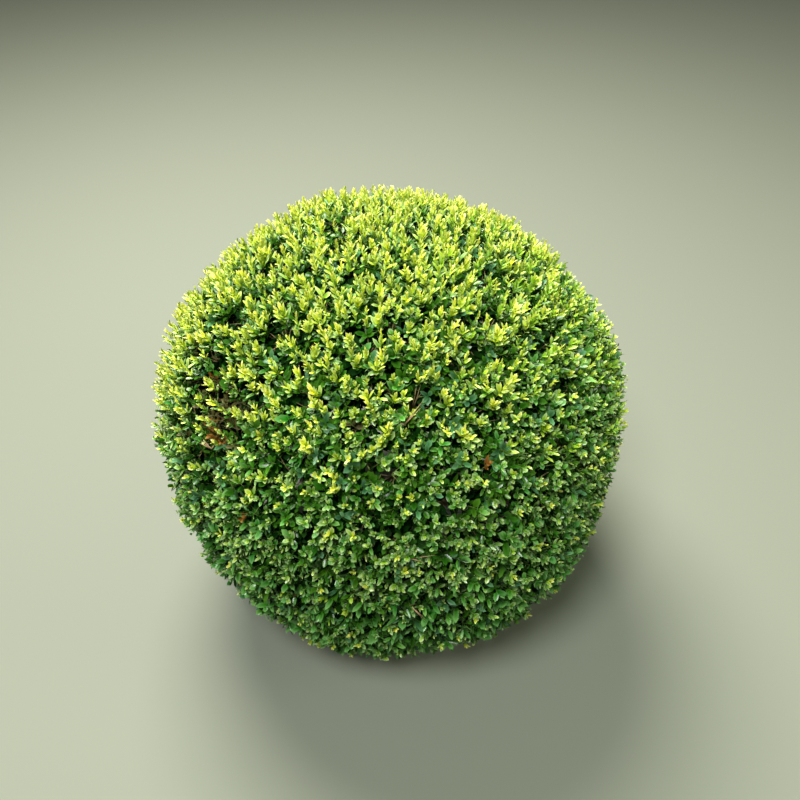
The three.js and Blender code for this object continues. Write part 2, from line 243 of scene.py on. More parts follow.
@dataclass(frozen=True)
class ClippedOutline:
    """The reach of the clipped mass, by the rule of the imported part, for many points at once."""

    ball_radius: float = 0.460
    waist_height: float = 0.506
    crown_rise: float = 0.379
    crown_fullness: float = 1.88
    skirt_drop: float = 0.588
    skirt_fullness: float = 2.29
    hem_height: float = 0.110
    hem_tuck: float = 0.4
    ground_clearance: float = 0.006
    waves: tuple[ShearWave, ...] = (
        ShearWave(2, 3, 0.006, 0.6),
        ShearWave(3, 2, 0.005, 2.1),
        ShearWave(5, 4, 0.003, 4.0),
    )
    patch_azimuth: float = -2.43
    patch_elevation: float = 0.36
    patch_spread: float = 0.19
    patch_depth: float = 0.020
    swellings: tuple[Spot, ...] = ()
    halvings: int = 14

    def patch(self, directions: Array) -> Array:
        """How deep in the bare patch each direction lies: 1 at its middle, 0 far from it."""
        middle = direction_at(self.patch_azimuth, self.patch_elevation)
        aside = np.arccos(np.clip(directions @ middle, -1, 1)) / self.patch_spread
        return np.exp(-aside * aside)

    def unevenness(self, directions: Array) -> Array:
        """How far shearing, the bare patch and the swellings leave the surface proud of the plain outline."""
        azimuth = np.arctan2(directions[..., 1], directions[..., 0])
        level = np.hypot(directions[..., 0], directions[..., 1])
        proud = -self.patch_depth * self.patch(directions)
        for wave in self.waves:
            swell = np.cos(wave.up * directions[..., 2] + wave.start)
            proud = proud + wave.depth * level * np.sin(wave.around * azimuth + wave.start) * swell
        for place in self.swellings:
            proud = proud + place.measure * place.nearness(directions)
        return proud

    def halves(self, directions: Array, depth: Array | float) -> tuple[Array, Array]:
        """The fullness and the height of the crown or the skirt, whichever each direction points to."""
        upper = directions[..., 2] >= 0
        fullness = np.where(upper, self.crown_fullness, self.skirt_fullness)
        return fullness, np.where(upper, self.crown_rise - depth, self.skirt_drop)

    def reach(self, directions: Array, depth: Array | float) -> Array:
        """Measures from the waist's centre to the outline.

        Args:
            directions: Unit vectors.
            depth: How far the outline is drawn in.

        Returns:
            The distance in each direction.
        """
        level = np.hypot(directions[..., 0], directions[..., 1])
        fullness, height = self.halves(directions, depth)
        wide = (level / (self.ball_radius - depth)) ** fullness
        tall = (np.abs(directions[..., 2]) / height) ** fullness
        return (wide + tall) ** (-1 / fullness) + self.unevenness(directions)

    def tuck(self, heights: Array) -> Array:
        """How much the hem is drawn in at each height: 1 at its top and above, least at the ground."""
        return 1 - self.hem_tuck * np.clip(1 - heights / self.hem_height, 0, 1) ** 2

    def shell_points(self, directions: Array, depth: Array | float) -> Array:
        """Finds points of the surface.

        Args:
            directions: Unit vectors from the waist's centre.
            depth: How far under the outline the points lie.

        Returns:
            One point a row.
        """
        points = directions * self.reach(directions, depth)[..., None]
        points[..., 2] += self.waist_height
        points[..., :2] *= self.tuck(points[..., 2])[..., None]
        return points

    def from_centre(self, points: Array) -> tuple[Array, Array]:
        """Looks at points from the waist's centre, with the hem's tuck taken out.

        Args:
            points: One point a row.

        Returns:
            The unit vectors towards them, and their distances.
        """
        tuck = self.tuck(points[..., 2])
        spread = np.stack(
            [points[..., 0] / tuck, points[..., 1] / tuck, points[..., 2] - self.waist_height], axis=-1
        )
        distance = np.linalg.norm(spread, axis=-1)
        return spread / np.maximum(distance, TINY)[..., None], distance

    def depth_inside(self, points: Array) -> Array:
        """How far each point lies inside the outline; negative outside."""
        directions, distance = self.from_centre(points)
        return self.reach(directions, 0.0) - distance

    def normals(self, directions: Array) -> Array:
        """The outward normals of the plain outline in directions from the waist's centre."""
        fullness, height = self.halves(directions, 0.0)
        level = np.maximum(np.hypot(directions[..., 0], directions[..., 1]), TINY)
        outward = level ** (fullness - 1) / self.ball_radius**fullness
        rise = np.sign(directions[..., 2]) * np.abs(directions[..., 2]) ** (fullness - 1) / height**fullness
        sides = directions[..., :2] / level[..., None] * outward[..., None]
        return unit(np.concatenate([sides, rise[..., None]], axis=-1))

    def room_to_grow(self, starts: Array, headings: Array, depth: Array | float, furthest: float) -> Array:
        """Measures how far one can go before the outline, drawn in by a depth, is met.

        Args:
            starts: One point a row.
            headings: The unit vector in which each goes.
            depth: How far under the outline each has to stay.
            furthest: The longest way that matters.

        Returns:
            The distance for each.
        """
        near = np.zeros(len(starts))
        far = np.full(len(starts), furthest)
        for _ in range(self.halvings):
            middle = (near + far) / 2
            inside = self.depth_inside(starts + headings * middle[:, None]) > depth
            near = np.where(inside, middle, near)
            far = np.where(inside, far, middle)
        return near


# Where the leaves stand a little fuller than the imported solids, as the photographed outline does.
FULLER_PLACES = (
    Spot(-47.0, -28.0, 26.0, 0.018),
    Spot(-3.0, 20.0, 10.0, 0.010),
    Spot(124.0, 60.0, 12.0, 0.012),
)


@dataclass(frozen=True)
class Bend:
    """A limb's line: a quadratic curve from its root, past its bend, to its end."""

    root: Array
    bend: Array
    end: Array

    def points(self, along: Array) -> Array:
        """The points at shares of the way along."""
        t = np.asarray(along)[..., None]
        return (1 - t) ** 2 * self.root + 2 * t * (1 - t) * self.bend + t**2 * self.end

    def headings(self, along: Array) -> Array:
        """The unit vectors along the line at shares of the way."""
        t = np.asarray(along)[..., None]
        return unit(2 * (1 - t) * (self.bend - self.root) + 2 * t * (self.end - self.bend))


@dataclass(frozen=True)
class LimbPlan:
    """The lines and thicknesses of the stem and the boughs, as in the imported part."""

    outline: ClippedOutline
    leaf_layer: float = 0.062
    core_wall: float = 0.078
    stem_height: float = 0.160
    stem_radius: float = 0.031
    stem_top_radius: float = 0.022
    stem_lean: float = 0.011
    upright_share: float = 0.6
    lean_aside: float = 0.5
    face_gap: float = 0.0003
    side_boughs: int = 8
    first_azimuth: float = -1.9
    lowest_bough: float = 0.042
    highest_bough: float = 0.100
    bough_radius: float = 0.011
    bough_tip_radius: float = 0.006
    stem_end_radius: float = 0.004
    leader_radius: float = 0.016
    bough_share: float = 0.72
    collar_share: float = 0.25
    collar_fade: float = 14.0
    bend_out: float = 0.6
    bend_up: float = 0.3
    leader_rise: float = 0.45
    leader_top: tuple[float, float, float] = (0.12, 0.06, 1.0)
    reaches: tuple[float, ...] = (-0.34, 0.34, -0.1, 0.52)

    @property
    def middle_of_wall(self) -> float:
        """The depth at which the boughs end, half way through the wall of foliage."""
        return self.leaf_layer + self.core_wall / 2

    def stem(self) -> Bend:
        """The stem's line: upright where it leaves the ground, then leaning a little."""
        return Bend(
            np.zeros(3),
            np.array([0.0, 0.0, self.upright_share * self.stem_height]),
            np.array([self.stem_lean, self.lean_aside * self.stem_lean, self.stem_height]),
        )

    def leader(self) -> Bend:
        """The leader's line, from the top of the stem to the crown."""
        stem = self.stem()
        heading = stem.headings(np.array(1.0))
        fork = stem.points(np.array(1.0)) + heading * self.face_gap
        top = self.outline.shell_points(unit(np.array(self.leader_top)), self.middle_of_wall)
        return Bend(fork, fork + heading * self.leader_rise * (top[2] - fork[2]), top)

    def side_bough(self, number: int) -> Bend:
        """Draws a side bough's line.

        Args:
            number: Which bough, from 0 at the lowest.

        Returns:
            The line from the stem into the wall of foliage.
        """
        azimuth = self.first_azimuth + number * GOLDEN_ANGLE
        outward = direction_at(azimuth, 0.0)
        share = number / (self.side_boughs - 1)
        height = self.lowest_bough + (self.highest_bough - self.lowest_bough) * share
        root = self.stem().points(np.array(height / self.stem_height)) + outward * self.stem_top_radius / 3
        reach = self.reaches[number % len(self.reaches)]
        end = self.outline.shell_points(direction_at(azimuth, reach * math.pi / 2), self.middle_of_wall)
        out = outward * self.bend_out * np.hypot(end[0], end[1])
        return Bend(root, root + out + UP * self.bend_up * (end[2] - root[2]), end)

    def boughs(self) -> list[tuple[str, Bend, float]]:
        """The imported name, line and root radius of each bough, with the leader first."""
        sides = [(f"bough_{i + 1}", self.side_bough(i), self.bough_radius) for i in range(self.side_boughs)]
        return [("leader", self.leader(), self.leader_radius), *sides]

    def bough_radii(self, along: Array, root_radius: float) -> Array:
        """Gives a bough's thickness, with a collar at its root and its thin stem inside the foliage.

        Args:
            along: Shares of the way from the root to the end of the line.
            root_radius: The radius at the root.

        Returns:
            A radius for each share.
        """
        on_bough = np.clip(along / self.bough_share, 0, 1)
        in_foliage = np.clip((along - self.bough_share) / (1 - self.bough_share), 0, 1)
        collar = 1 + self.collar_share * np.exp(-on_bough * self.collar_fade)
        bough = (root_radius + (self.bough_tip_radius - root_radius) * on_bough) * collar
        return bough + (self.stem_end_radius - self.bough_tip_radius) * in_foliage


@dataclass(frozen=True)
class BarkFinish:
    """Box bark: thin, dull and corky, split by age into small plates.

    It gives the eye a matt buff-grey stem with darker fine cracks; younger wood is smoother and more olive.

    Attributes:
        name: The finish's name.
        plate: The colour of the plates' faces.
        crack: The colour in the cracks between them.
        lichen: The colour of the pale weathered bloom.
        plate_size: The width of a plate.
        crack_depth: How deep the drawn cracks look.
        crack_width: How wide they look, as a share of a plate.
        plate_squash: How much longer than wide a plate is, as a scale of the pattern along the stem.
        weathered_plates: How many plates wide the weathered places are.
        bloom: Where the bloom starts and where it covers all, as readings of the weathering.
        relief_strength: How strongly the cracks' relief shows.
        roughness: How dull the bark is.
    """

    name: str
    plate: str
    crack: str
    lichen: str
    plate_size: float
    crack_depth: float
    crack_width: float = 0.16
    plate_squash: float = 0.45
    weathered_plates: int = 6
    bloom: tuple[float, float] = (0.48, 0.68)
    relief_strength: float = 0.8
    roughness: float = 0.88

    def material(self) -> bpy.types.Material:
        """Builds the node material.

        Returns:
            The bark, its pattern placed by Object coordinates.
        """
        material, tree = new_material(self.name)
        place = add_node(tree, "ShaderNodeTexCoord", {}, {}).outputs["Object"]
        squash = {"Scale": (1.0, 1.0, self.plate_squash)}
        stretch = add_node(tree, "ShaderNodeMapping", squash, {"Vector": place})
        plates = add_node(
            tree,
            "ShaderNodeTexVoronoi",
            {"feature": "DISTANCE_TO_EDGE", "Scale": 1 / self.plate_size, "Randomness": 0.9},
            {"Vector": stretch.outputs["Vector"]},
        )
        weather = add_node(
            tree,
            "ShaderNodeTexNoise",
            {"Scale": 1 / (self.weathered_plates * self.plate_size), "Detail": 5.0, "Roughness": 0.6},
            {"Vector": place},
        )
        width = {"From Min": 0.0, "From Max": self.crack_width}
        opening = add_node(tree, "ShaderNodeMapRange", width, {"Value": plates.outputs["Distance"]})
        start, end = self.bloom
        cover = {"From Min": start, "From Max": end}
        weathered = add_node(tree, "ShaderNodeMapRange", cover, {"Value": weather.outputs["Fac"]})
        face = add_node(
            tree,
            "ShaderNodeMix",
            {"data_type": "RGBA", 6: linear(self.plate), 7: linear(self.lichen)},
            {0: weathered.outputs["Result"]},
        )
        colour = add_node(
            tree,
            "ShaderNodeMix",
            {"data_type": "RGBA", 6: linear(self.crack)},
            {0: opening.outputs["Result"], 7: face.outputs[2]},
        )
        relief = {"Strength": self.relief_strength, "Distance": self.crack_depth}
        surface = {"Roughness": self.roughness}
        finish_material(tree, colour.outputs[2], opening.outputs["Result"], relief, surface)
        return material


@dataclass(frozen=True)
class LeafFinish:
    """A box leaf: leathery and waxed when old, thin and soft when young, and paler towards its edge and tip.

    It gives the eye small glints on the blade and a light tip; the paler edge and tip are partly the leaf's
    own lighter margin and partly a painted highlight. Each leaf is a little lighter and yellower, or darker
    and greener, than its neighbour.

    Attributes:
        name: The finish's name.
        slot: A slot name for it.
        blade: The colour at the foot.
        margin_and_highlight: The colour at the tip, partly the leaf's lighter margin and partly a painted
            highlight.
        roughness: How dull the wax is.
        gloss: How strong the wax's shine is.
        mottle: The size of the faint blotches on the blade.
        blister: How high they are raised.
        relief_strength: How strongly that shows.
        paling: Where the blade starts to pale and where it is palest, as the mesh's margin_and_highlight
            reading.
        unlikeness: How far leaves differ in lightness.
        yellowing: How far they differ in hue.
    """

    name: str
    slot: str
    blade: str
    margin_and_highlight: str
    roughness: float
    gloss: float
    mottle: float = 0.005
    blister: float = 0.0006
    relief_strength: float = 0.25
    paling: tuple[float, float] = (0.20, 1.05)
    unlikeness: float = 0.20
    yellowing: float = 0.014

    def material(self) -> bpy.types.Material:
        """Builds the node material.

        Returns:
            The leaf, its edge and lightness read from the mesh's own attributes.
        """
        material, tree = new_material(self.name)
        place = add_node(tree, "ShaderNodeTexCoord", {}, {}).outputs["Object"]
        edge = add_node(tree, "ShaderNodeAttribute", {"attribute_name": "margin_and_highlight"}, {}).outputs["Fac"]
        tone = add_node(tree, "ShaderNodeAttribute", {"attribute_name": "tone"}, {}).outputs["Fac"]
        mottling = {"Scale": 1 / self.mottle, "Detail": 2.0}
        blotches = add_node(tree, "ShaderNodeTexNoise", mottling, {"Vector": place})
        # The paler edge and tip: partly the leaf's own lighter margin, partly a painted highlight.
        start, end = self.paling
        margin_and_highlight = add_node(tree, "ShaderNodeMapRange", {"From Min": start, "From Max": end}, {"Value": edge})
        colour = add_node(
            tree,
            "ShaderNodeMix",
            {"data_type": "RGBA", 6: linear(self.blade), 7: linear(self.margin_and_highlight)},
            {0: margin_and_highlight.outputs["Result"]},
        )
        links = {"Color": colour.outputs[2]}
        unlike = {
            "Hue": (NEUTRAL_HUE + self.yellowing, NEUTRAL_HUE - self.yellowing),
            "Value": (1 - self.unlikeness, 1 + self.unlikeness),
        }
        for reading, (at_darkest, at_lightest) in unlike.items():
            ends = {"From Min": -1.0, "From Max": 1.0, "To Min": at_darkest, "To Max": at_lightest}
            links[reading] = add_node(tree, "ShaderNodeMapRange", ends, {"Value": tone}).outputs["Result"]
        shaded = add_node(tree, "ShaderNodeHueSaturation", {"Saturation": 1.0}, links)
        relief = {"Strength": self.relief_strength, "Distance": self.blister}
        surface = {"Roughness": self.roughness, "Specular IOR Level": self.gloss}
        finish_material(tree, shaded.outputs["Color"], blotches.outputs["Fac"], relief, surface)
        return material


@dataclass(frozen=True)
class TwigFinish:
    """Young box wood: a thin smooth skin, green in its first year and buff after.

    It gives the eye slim dull lines between the leaves, streaked along their length.

    Attributes:
        name: The finish's name.
        skin: The usual colour.
        streak: The colour of the streaks.
        streak_size: How far apart the streaks are, drawn as coarse as shows.
        ridge: How high they are raised.
        relief_strength: How strongly that shows.
        roughness: How dull the skin is.
    """

    name: str
    skin: str
    streak: str
    streak_size: float = 0.004
    ridge: float = 0.0005
    relief_strength: float = 0.4
    roughness: float = 0.7

    def material(self) -> bpy.types.Material:
        """Builds the node material.

        Returns:
            The twig's skin, its streaks placed by Object coordinates.
        """
        material, tree = new_material(self.name)
        place = add_node(tree, "ShaderNodeTexCoord", {}, {}).outputs["Object"]
        spacing = {"Scale": 1 / self.streak_size, "Detail": 3.0}
        streaks = add_node(tree, "ShaderNodeTexNoise", spacing, {"Vector": place}).outputs["Fac"]
        colour = add_node(
            tree,
            "ShaderNodeMix",
            {"data_type": "RGBA", 6: linear(self.skin), 7: linear(self.streak)},
            {0: streaks},
        )
        relief = {"Strength": self.relief_strength, "Distance": self.ridge}
        finish_material(tree, colour.outputs[2], streaks, relief, {"Roughness": self.roughness})
        return material


def select_only(piece: bpy.types.Object) -> None:
    """Selects one object and makes it active."""
    bpy.ops.object.select_all(action="DESELECT")
    piece.select_set(True)
    bpy.context.view_layer.objects.active = piece


def hand_over(piece: bpy.types.Object, material: bpy.types.Material, slot: str, *nodes: str) -> None:
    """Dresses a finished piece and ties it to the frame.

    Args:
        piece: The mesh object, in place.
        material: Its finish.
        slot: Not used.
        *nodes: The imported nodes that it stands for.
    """
    piece.data.materials.clear()
    piece.data.materials.append(material)
    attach(piece, BODY)
    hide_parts(*nodes)
    log.info("%s: %d faces", piece.name, len(piece.data.polygons))


def roughen(piece: bpy.types.Object, name: str, kind: str, grain: float, depth: float) -> None:
    """Gives a piece a relief from a solid noise, along its normals.

    Args:
        piece: The mesh object.
        name: A name for the noise.
        kind: Blender's name of the noise.
        grain: The size of its features.
        depth: How much it raises or lowers the surface in all.
    """
    texture = bpy.data.textures.new(name, kind)
    texture.noise_scale = grain
    relief = piece.modifiers.new(name, "DISPLACE")
    relief.texture = texture
    relief.texture_coords = "LOCAL"
    relief.strength = depth
    relief.mid_level = 0.5
    bpy.ops.object.modifier_apply(modifier=relief.name)


@dataclass
class Stem:
    """The short stem, from the flat cut at the ground to its fork, with a lobed root flare."""

    plan: LimbPlan
    sides: int = 60
    rings: int = 40
    flare_radius: float = 0.018
    flare_height: float = 0.030
    flare_lobes: int = 5
    flare_lobe_share: float = 0.3
    plate_size: float = 0.009
    swelling_size: float = 0.036
    relief: float = 0.0032
    finish: BarkFinish = BarkFinish("old box bark, corky", "#8B7E68", "#3D3429", "#A8A08A", 0.009, 0.002)

    def raise_rings(self) -> bpy.types.Object:
        """Extrudes the stem ring by ring from a disc at the ground.

        Returns:
            The plain stem, tapered and leaning.
        """
        line = self.plan.stem()
        bpy.ops.object.select_all(action="DESELECT")
        bpy.ops.mesh.primitive_circle_add(
            vertices=self.sides, radius=self.plan.stem_radius, fill_type="NGON", location=(0, 0, 0)
        )
        stem = bpy.context.object
        stem.name = "stem_bark"
        bpy.ops.object.mode_set(mode="EDIT")
        bpy.ops.mesh.select_all(action="SELECT")
        places = line.points(np.linspace(0, 1, self.rings + 1))
        slimming = (self.plan.stem_top_radius / self.plan.stem_radius) ** (1 / self.rings)
        for lower, upper in zip(places[:-1], places[1:]):
            bpy.ops.mesh.extrude_region_move(TRANSFORM_OT_translate={"value": tuple(upper - lower)})
            bpy.ops.transform.resize(value=(slimming, slimming, 1.0), center_override=tuple(upper))
        bpy.ops.mesh.select_all(action="SELECT")
        bpy.ops.mesh.normals_make_consistent(inside=False)
        bpy.ops.object.mode_set(mode="OBJECT")
        return stem

    def swell_roots(self, stem: bpy.types.Object) -> None:
        """Pushes the foot of the stem out into the lobes of its roots."""
        line = self.plan.stem()
        for vertex in stem.data.vertices:
            along = min(max(vertex.co.z / self.plan.stem_height, 0.0), 1.0)
            middle = Vector(line.points(np.array(along)))
            aside = Vector((vertex.co.x - middle.x, vertex.co.y - middle.y, 0.0))
            if aside.length < TINY:
                continue
            fade = math.exp(-vertex.co.z / self.flare_height)
            lobes = 1 + self.flare_lobe_share * math.sin(self.flare_lobes * math.atan2(aside.y, aside.x))
            vertex.co += aside.normalized() * self.flare_radius * fade * lobes

    def build(self) -> None:
        """Models and dresses the stem."""
        stem = self.raise_rings()
        self.swell_roots(stem)
        select_only(stem)
        finer = stem.modifiers.new("finer", "SUBSURF")
        finer.levels = 1
        finer.render_levels = 1
        bpy.ops.object.modifier_apply(modifier=finer.name)
        roughen(stem, "bark plates", "VORONOI", self.plate_size, self.relief)
        roughen(stem, "bark swellings", "CLOUDS", self.swelling_size, self.relief)
        for vertex in stem.data.vertices:
            vertex.co.z = max(vertex.co.z, 0.0)
        bpy.ops.object.shade_smooth()
        hand_over(stem, self.finish.material(), "bark", "stem")


@dataclass
class Boughs:
    """The leader and the side boughs, each one limb from the stem into the wall of foliage."""

    plan: LimbPlan
    ring_spacing: float = 0.006
    roundness: int = 3
    crookedness: float = 0.005
    crook_length: float = 0.12
    crook_seed: int = 40
    measuring_points: int = 20
    first_fork: float = 0.4
    forks: int = 14
    relief: float = 0.0016
    plate_size: float = 0.006
    knot_size: float = 0.024
    finish: BarkFinish = BarkFinish("young box bark, smooth", "#8A7B58", "#4A3F2A", "#9D9872", 0.006, 0.001)

    def crooked(self, number: int, line: Bend, along: Array) -> Array:
        """Draws a limb's real line.

        Args:
            number: Which bough it is.
            line: The plain curve.
            along: Shares of the way.

        Returns:
            The points, which leave the plain curve a little between its two ends.
        """
        points = line.points(along)
        seed = self.crook_seed + 3 * number
        shift = np.stack([Ripple(self.crook_length, seed + axis).at(points) for axis in range(3)], axis=-1)
        return points + shift * self.crookedness * np.sin(math.pi * along)[:, None]

    def limb(self, number: int, name: str, line: Bend, root_radius: float) -> bpy.types.Object:
        """Models one bough from a path.

        Args:
            number: Which bough it is.
            name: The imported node's name.
            line: Its line.
            root_radius: Its radius at the stem.

        Returns:
            The bough as a mesh, with its bark in relief.
        """
        steps = np.diff(line.points(np.linspace(0, 1, self.measuring_points)), axis=0)
        length = float(np.linalg.norm(steps, axis=1).sum())
        count = int(length / self.ring_spacing)
        along = np.linspace(0, 1, count)
        points = self.crooked(number, line, along)
        bpy.ops.object.select_all(action="DESELECT")
        bpy.ops.curve.primitive_nurbs_path_add(location=(0, 0, 0))
        path = bpy.context.object
        path.name = f"{name}_bark"
        curve = path.data
        curve.splines.clear()
        spline = curve.splines.new("POLY")
        spline.points.add(count - 1)
        spline.points.foreach_set("co", np.c_[points, np.ones(count)].ravel())
        spline.points.foreach_set("radius", self.plan.bough_radii(along, root_radius))
        curve.dimensions = "3D"
        curve.bevel_depth = 1.0
        curve.bevel_resolution = self.roundness
        curve.use_fill_caps = True
        select_only(path)
        bpy.ops.object.convert(target="MESH")
        bough = bpy.context.object
        bpy.ops.object.mode_set(mode="EDIT")
        bpy.ops.mesh.select_all(action="SELECT")
        bpy.ops.mesh.remove_doubles(threshold=MERGED)
        bpy.ops.mesh.normals_make_consistent(inside=False)
        bpy.ops.object.mode_set(mode="OBJECT")
        roughen(bough, f"{name} plates", "VORONOI", self.plate_size, self.relief)
        roughen(bough, f"{name} knots", "CLOUDS", self.knot_size, self.relief)
        bpy.ops.object.shade_smooth()
        return bough

    def build(self) -> None:
        """Models and dresses every bough."""
        material = self.finish.material()
        for number, (name, line, root_radius) in enumerate(self.plan.boughs()):
            bough = self.limb(number, name, line, root_radius)
            hand_over(bough, material, "young_bark", name)

    def forks_at(self) -> tuple[Array, Array]:
        """Takes places on the boughs from which branches may fork.

        Returns:
            The places and the limbs' headings there.
        """
        along = np.linspace(self.first_fork, 1.0, self.forks)
        places = []
        headings = []
        for number, (_, line, _) in enumerate(self.plan.boughs()):
            places.append(self.crooked(number, line, along))
            headings.append(line.headings(along))
        return np.concatenate(places), np.concatenate(headings)


def mesh_piece(name: str, vertices: Array, faces: Indices, readings: dict[str, Array]) -> bpy.types.Object:
    """Joins arrays into one mesh object at the origin.

    Args:
        name: The piece's name.
        vertices: One place a row.
        faces: Three vertex numbers a row.
        readings: A number for each vertex, by the attribute's name.

    Returns:
        The new object, shaded smooth.
    """
    mesh = bpy.data.meshes.new(name)
    mesh.vertices.add(len(vertices))
    mesh.vertices.foreach_set("co", vertices.astype(np.float32).ravel())
    mesh.loops.add(3 * len(faces))
    mesh.loops.foreach_set("vertex_index", faces.astype(np.int32).ravel())
    mesh.polygons.add(len(faces))
    mesh.polygons.foreach_set("loop_start", np.arange(0, 3 * len(faces), 3, dtype=np.int32))
    mesh.polygons.foreach_set("use_smooth", np.ones(len(faces), dtype=bool))
    for reading, values in readings.items():
        attribute = mesh.attributes.new(reading, "FLOAT", "POINT")
        attribute.data.foreach_set("value", values.astype(np.float32))
    mesh.update(calc_edges=True)
    mesh.validate()
    piece = bpy.data.objects.new(name, mesh)
    bpy.context.scene.collection.objects.link(piece)
    return piece


def tubes(lines: Array, radii: Array, sides: int) -> tuple[Array, Indices]:
    """Makes many thin limbs, each a tube that ends in a point.

    Args:
        lines: Points of shape (limb, ring, 3), the last of them the tip.
        radii: A radius for each ring; the tip's is not used.
        sides: How many sides each tube has.

    Returns:
        The vertices and the triangles of all limbs.
    """
    count, rings, _ = lines.shape
    headings = unit(np.gradient(lines, axis=1))
    steep = np.abs(headings[:, :1, 2:]) > STEEP
    aside = np.where(steep, np.array([1.0, 0.0, 0.0]), UP)
    across = unit(np.cross(headings, aside))
    beside = np.cross(headings, across)
    turn = 2 * math.pi * np.arange(sides) / sides
    spokes = across[:, :, None] * np.cos(turn)[:, None] + beside[:, :, None] * np.sin(turn)[:, None]
    rounds = (lines[:, :, None] + spokes * radii[:, :, None, None])[:, :-1]
    vertices = np.concatenate([rounds.reshape(count, -1, 3), lines[:, -1:]], axis=1)
    ring = np.arange(rings - 2)[:, None] * sides
    here = ring + np.arange(sides)
    beyond = ring + (np.arange(sides) + 1) % sides
    walls = np.concatenate(
        [
            np.stack([here, beyond, here + sides], axis=-1).reshape(-1, 3),
            np.stack([beyond, beyond + sides, here + sides], axis=-1).reshape(-1, 3),
        ]
    )
    last = (rings - 2) * sides
    tip = np.full(sides, (rings - 1) * sides)
    cone = np.stack([last + np.arange(sides), last + (np.arange(sides) + 1) % sides, tip], axis=-1)
    faces = np.concatenate([walls, cone])
    starts = np.arange(count)[:, None, None] * vertices.shape[1]
    return vertices.reshape(-1, 3), (faces[None] + starts).reshape(-1, 3)


@dataclass
class ForkOrder:
    """One order of forking: how many limbs it has, where they end and how thick they are.

    Attributes:
        name: What the limbs are called.
        count: How many directions they are spread over.
        depth: How far under the outline they end.
        depth_jitter: How much that differs.
        rings: Rings of each tube.
        sides: Sides of each tube.
        root_radius: Radius where it forks off.
        tip_radius: Radius near its tip.
        pull: How far it first follows the limb that carries it, as a share of its length.
    """

    name: str
    count: int
    depth: float
    depth_jitter: float
    rings: int
    sides: int
    root_radius: float
    tip_radius: float
    pull: float


@dataclass
class Twigwork:
    """The wood inside the foliage: branches, branchlets and twigs, each order forking from the one before."""

    outline: ClippedOutline
    orders: tuple[ForkOrder, ...] = (
        ForkOrder("branches", 130, 0.118, 0.016, 9, 6, 0.0042, 0.0022, 0.45),
        ForkOrder("branchlets", 1000, 0.078, 0.012, 6, 4, 0.0022, 0.0013, 0.35),
        ForkOrder("twigs", 5200, 0.044, 0.010, 4, 3, 0.0013, 0.0009, 0.3),
    )
    lowest: float = 0.034
    jitter: float = 0.25
    wander: float = 0.09
    outward: float = 0.25
    first_fork: float = 0.45
    seed: int = 700
    finish: TwigFinish = TwigFinish("second-year box twig, buff", "#8C7A4E", "#5E5234")

    def nearest(self, places: Array, targets: Array) -> Indices:
        """Finds for each target the nearest place.

        Args:
            places: Where a limb may fork off.
            targets: Where the new limbs end.

        Returns:
            The number of a place for each target.
        """
        tree = kdtree.KDTree(len(places))
        for number, place in enumerate(places):
            tree.insert(place, number)
        tree.balance()
        return np.array([tree.find(target)[1] for target in targets])

    def grow(self, order: ForkOrder, places: Array, headings: Array, seed: int) -> tuple[Array, Array, Array]:
        """Grows one order of limbs from the one before.

        Args:
            order: What the new limbs are like.
            places: Where they may fork off.
            headings: How the carrying limbs run there.
            seed: What chance is drawn from.

        Returns:
            The limbs' points, and the places and headings that the next order forks from.
        """
        random = np.random.default_rng(seed)
        directions = spread_directions(order.count, self.jitter, random)
        depth = order.depth + random.uniform(-1, 1, order.count) * order.depth_jitter
        ends = self.outline.shell_points(directions, depth)
        ends = ends[ends[:, 2] > self.lowest]
        carriers = self.nearest(places, ends)
        roots = places[carriers]
        span = np.linalg.norm(ends - roots, axis=1, keepdims=True)
        stray = random.normal(size=roots.shape) * span * self.wander
        bends = roots + headings[carriers] * span * order.pull + (ends - roots) * self.outward + stray
        along = np.linspace(0, 1, order.rings)[None, :, None]
        lines = (
            (1 - along) ** 2 * roots[:, None]
            + 2 * along * (1 - along) * bends[:, None]
            + along**2 * ends[:, None]
        )
        lines[..., 2] = np.maximum(lines[..., 2], self.lowest / 2)
        since = int(self.first_fork * order.rings)
        runs = unit(np.gradient(lines, axis=1))
        return lines, lines[:, since:].reshape(-1, 3), runs[:, since:].reshape(-1, 3)

    def build(self, places: Array, headings: Array) -> Array:
        """Grows, joins and dresses the wood.

        Args:
            places: Where branches may fork off the boughs.
            headings: How the boughs run there.

        Returns:
            The places that shoots grow from.
        """
        material = self.finish.material()
        for number, order in enumerate(self.orders):
            lines, places, headings = self.grow(order, places, headings, self.seed + number)
            taper = np.linspace(order.root_radius, order.tip_radius, order.rings)
            radii = np.broadcast_to(taper, lines.shape[:2])
            vertices, faces = tubes(lines, radii, order.sides)
            piece = mesh_piece(order.name, vertices, faces, {})
            hand_over(piece, material, "twig", "foliage")
        return places


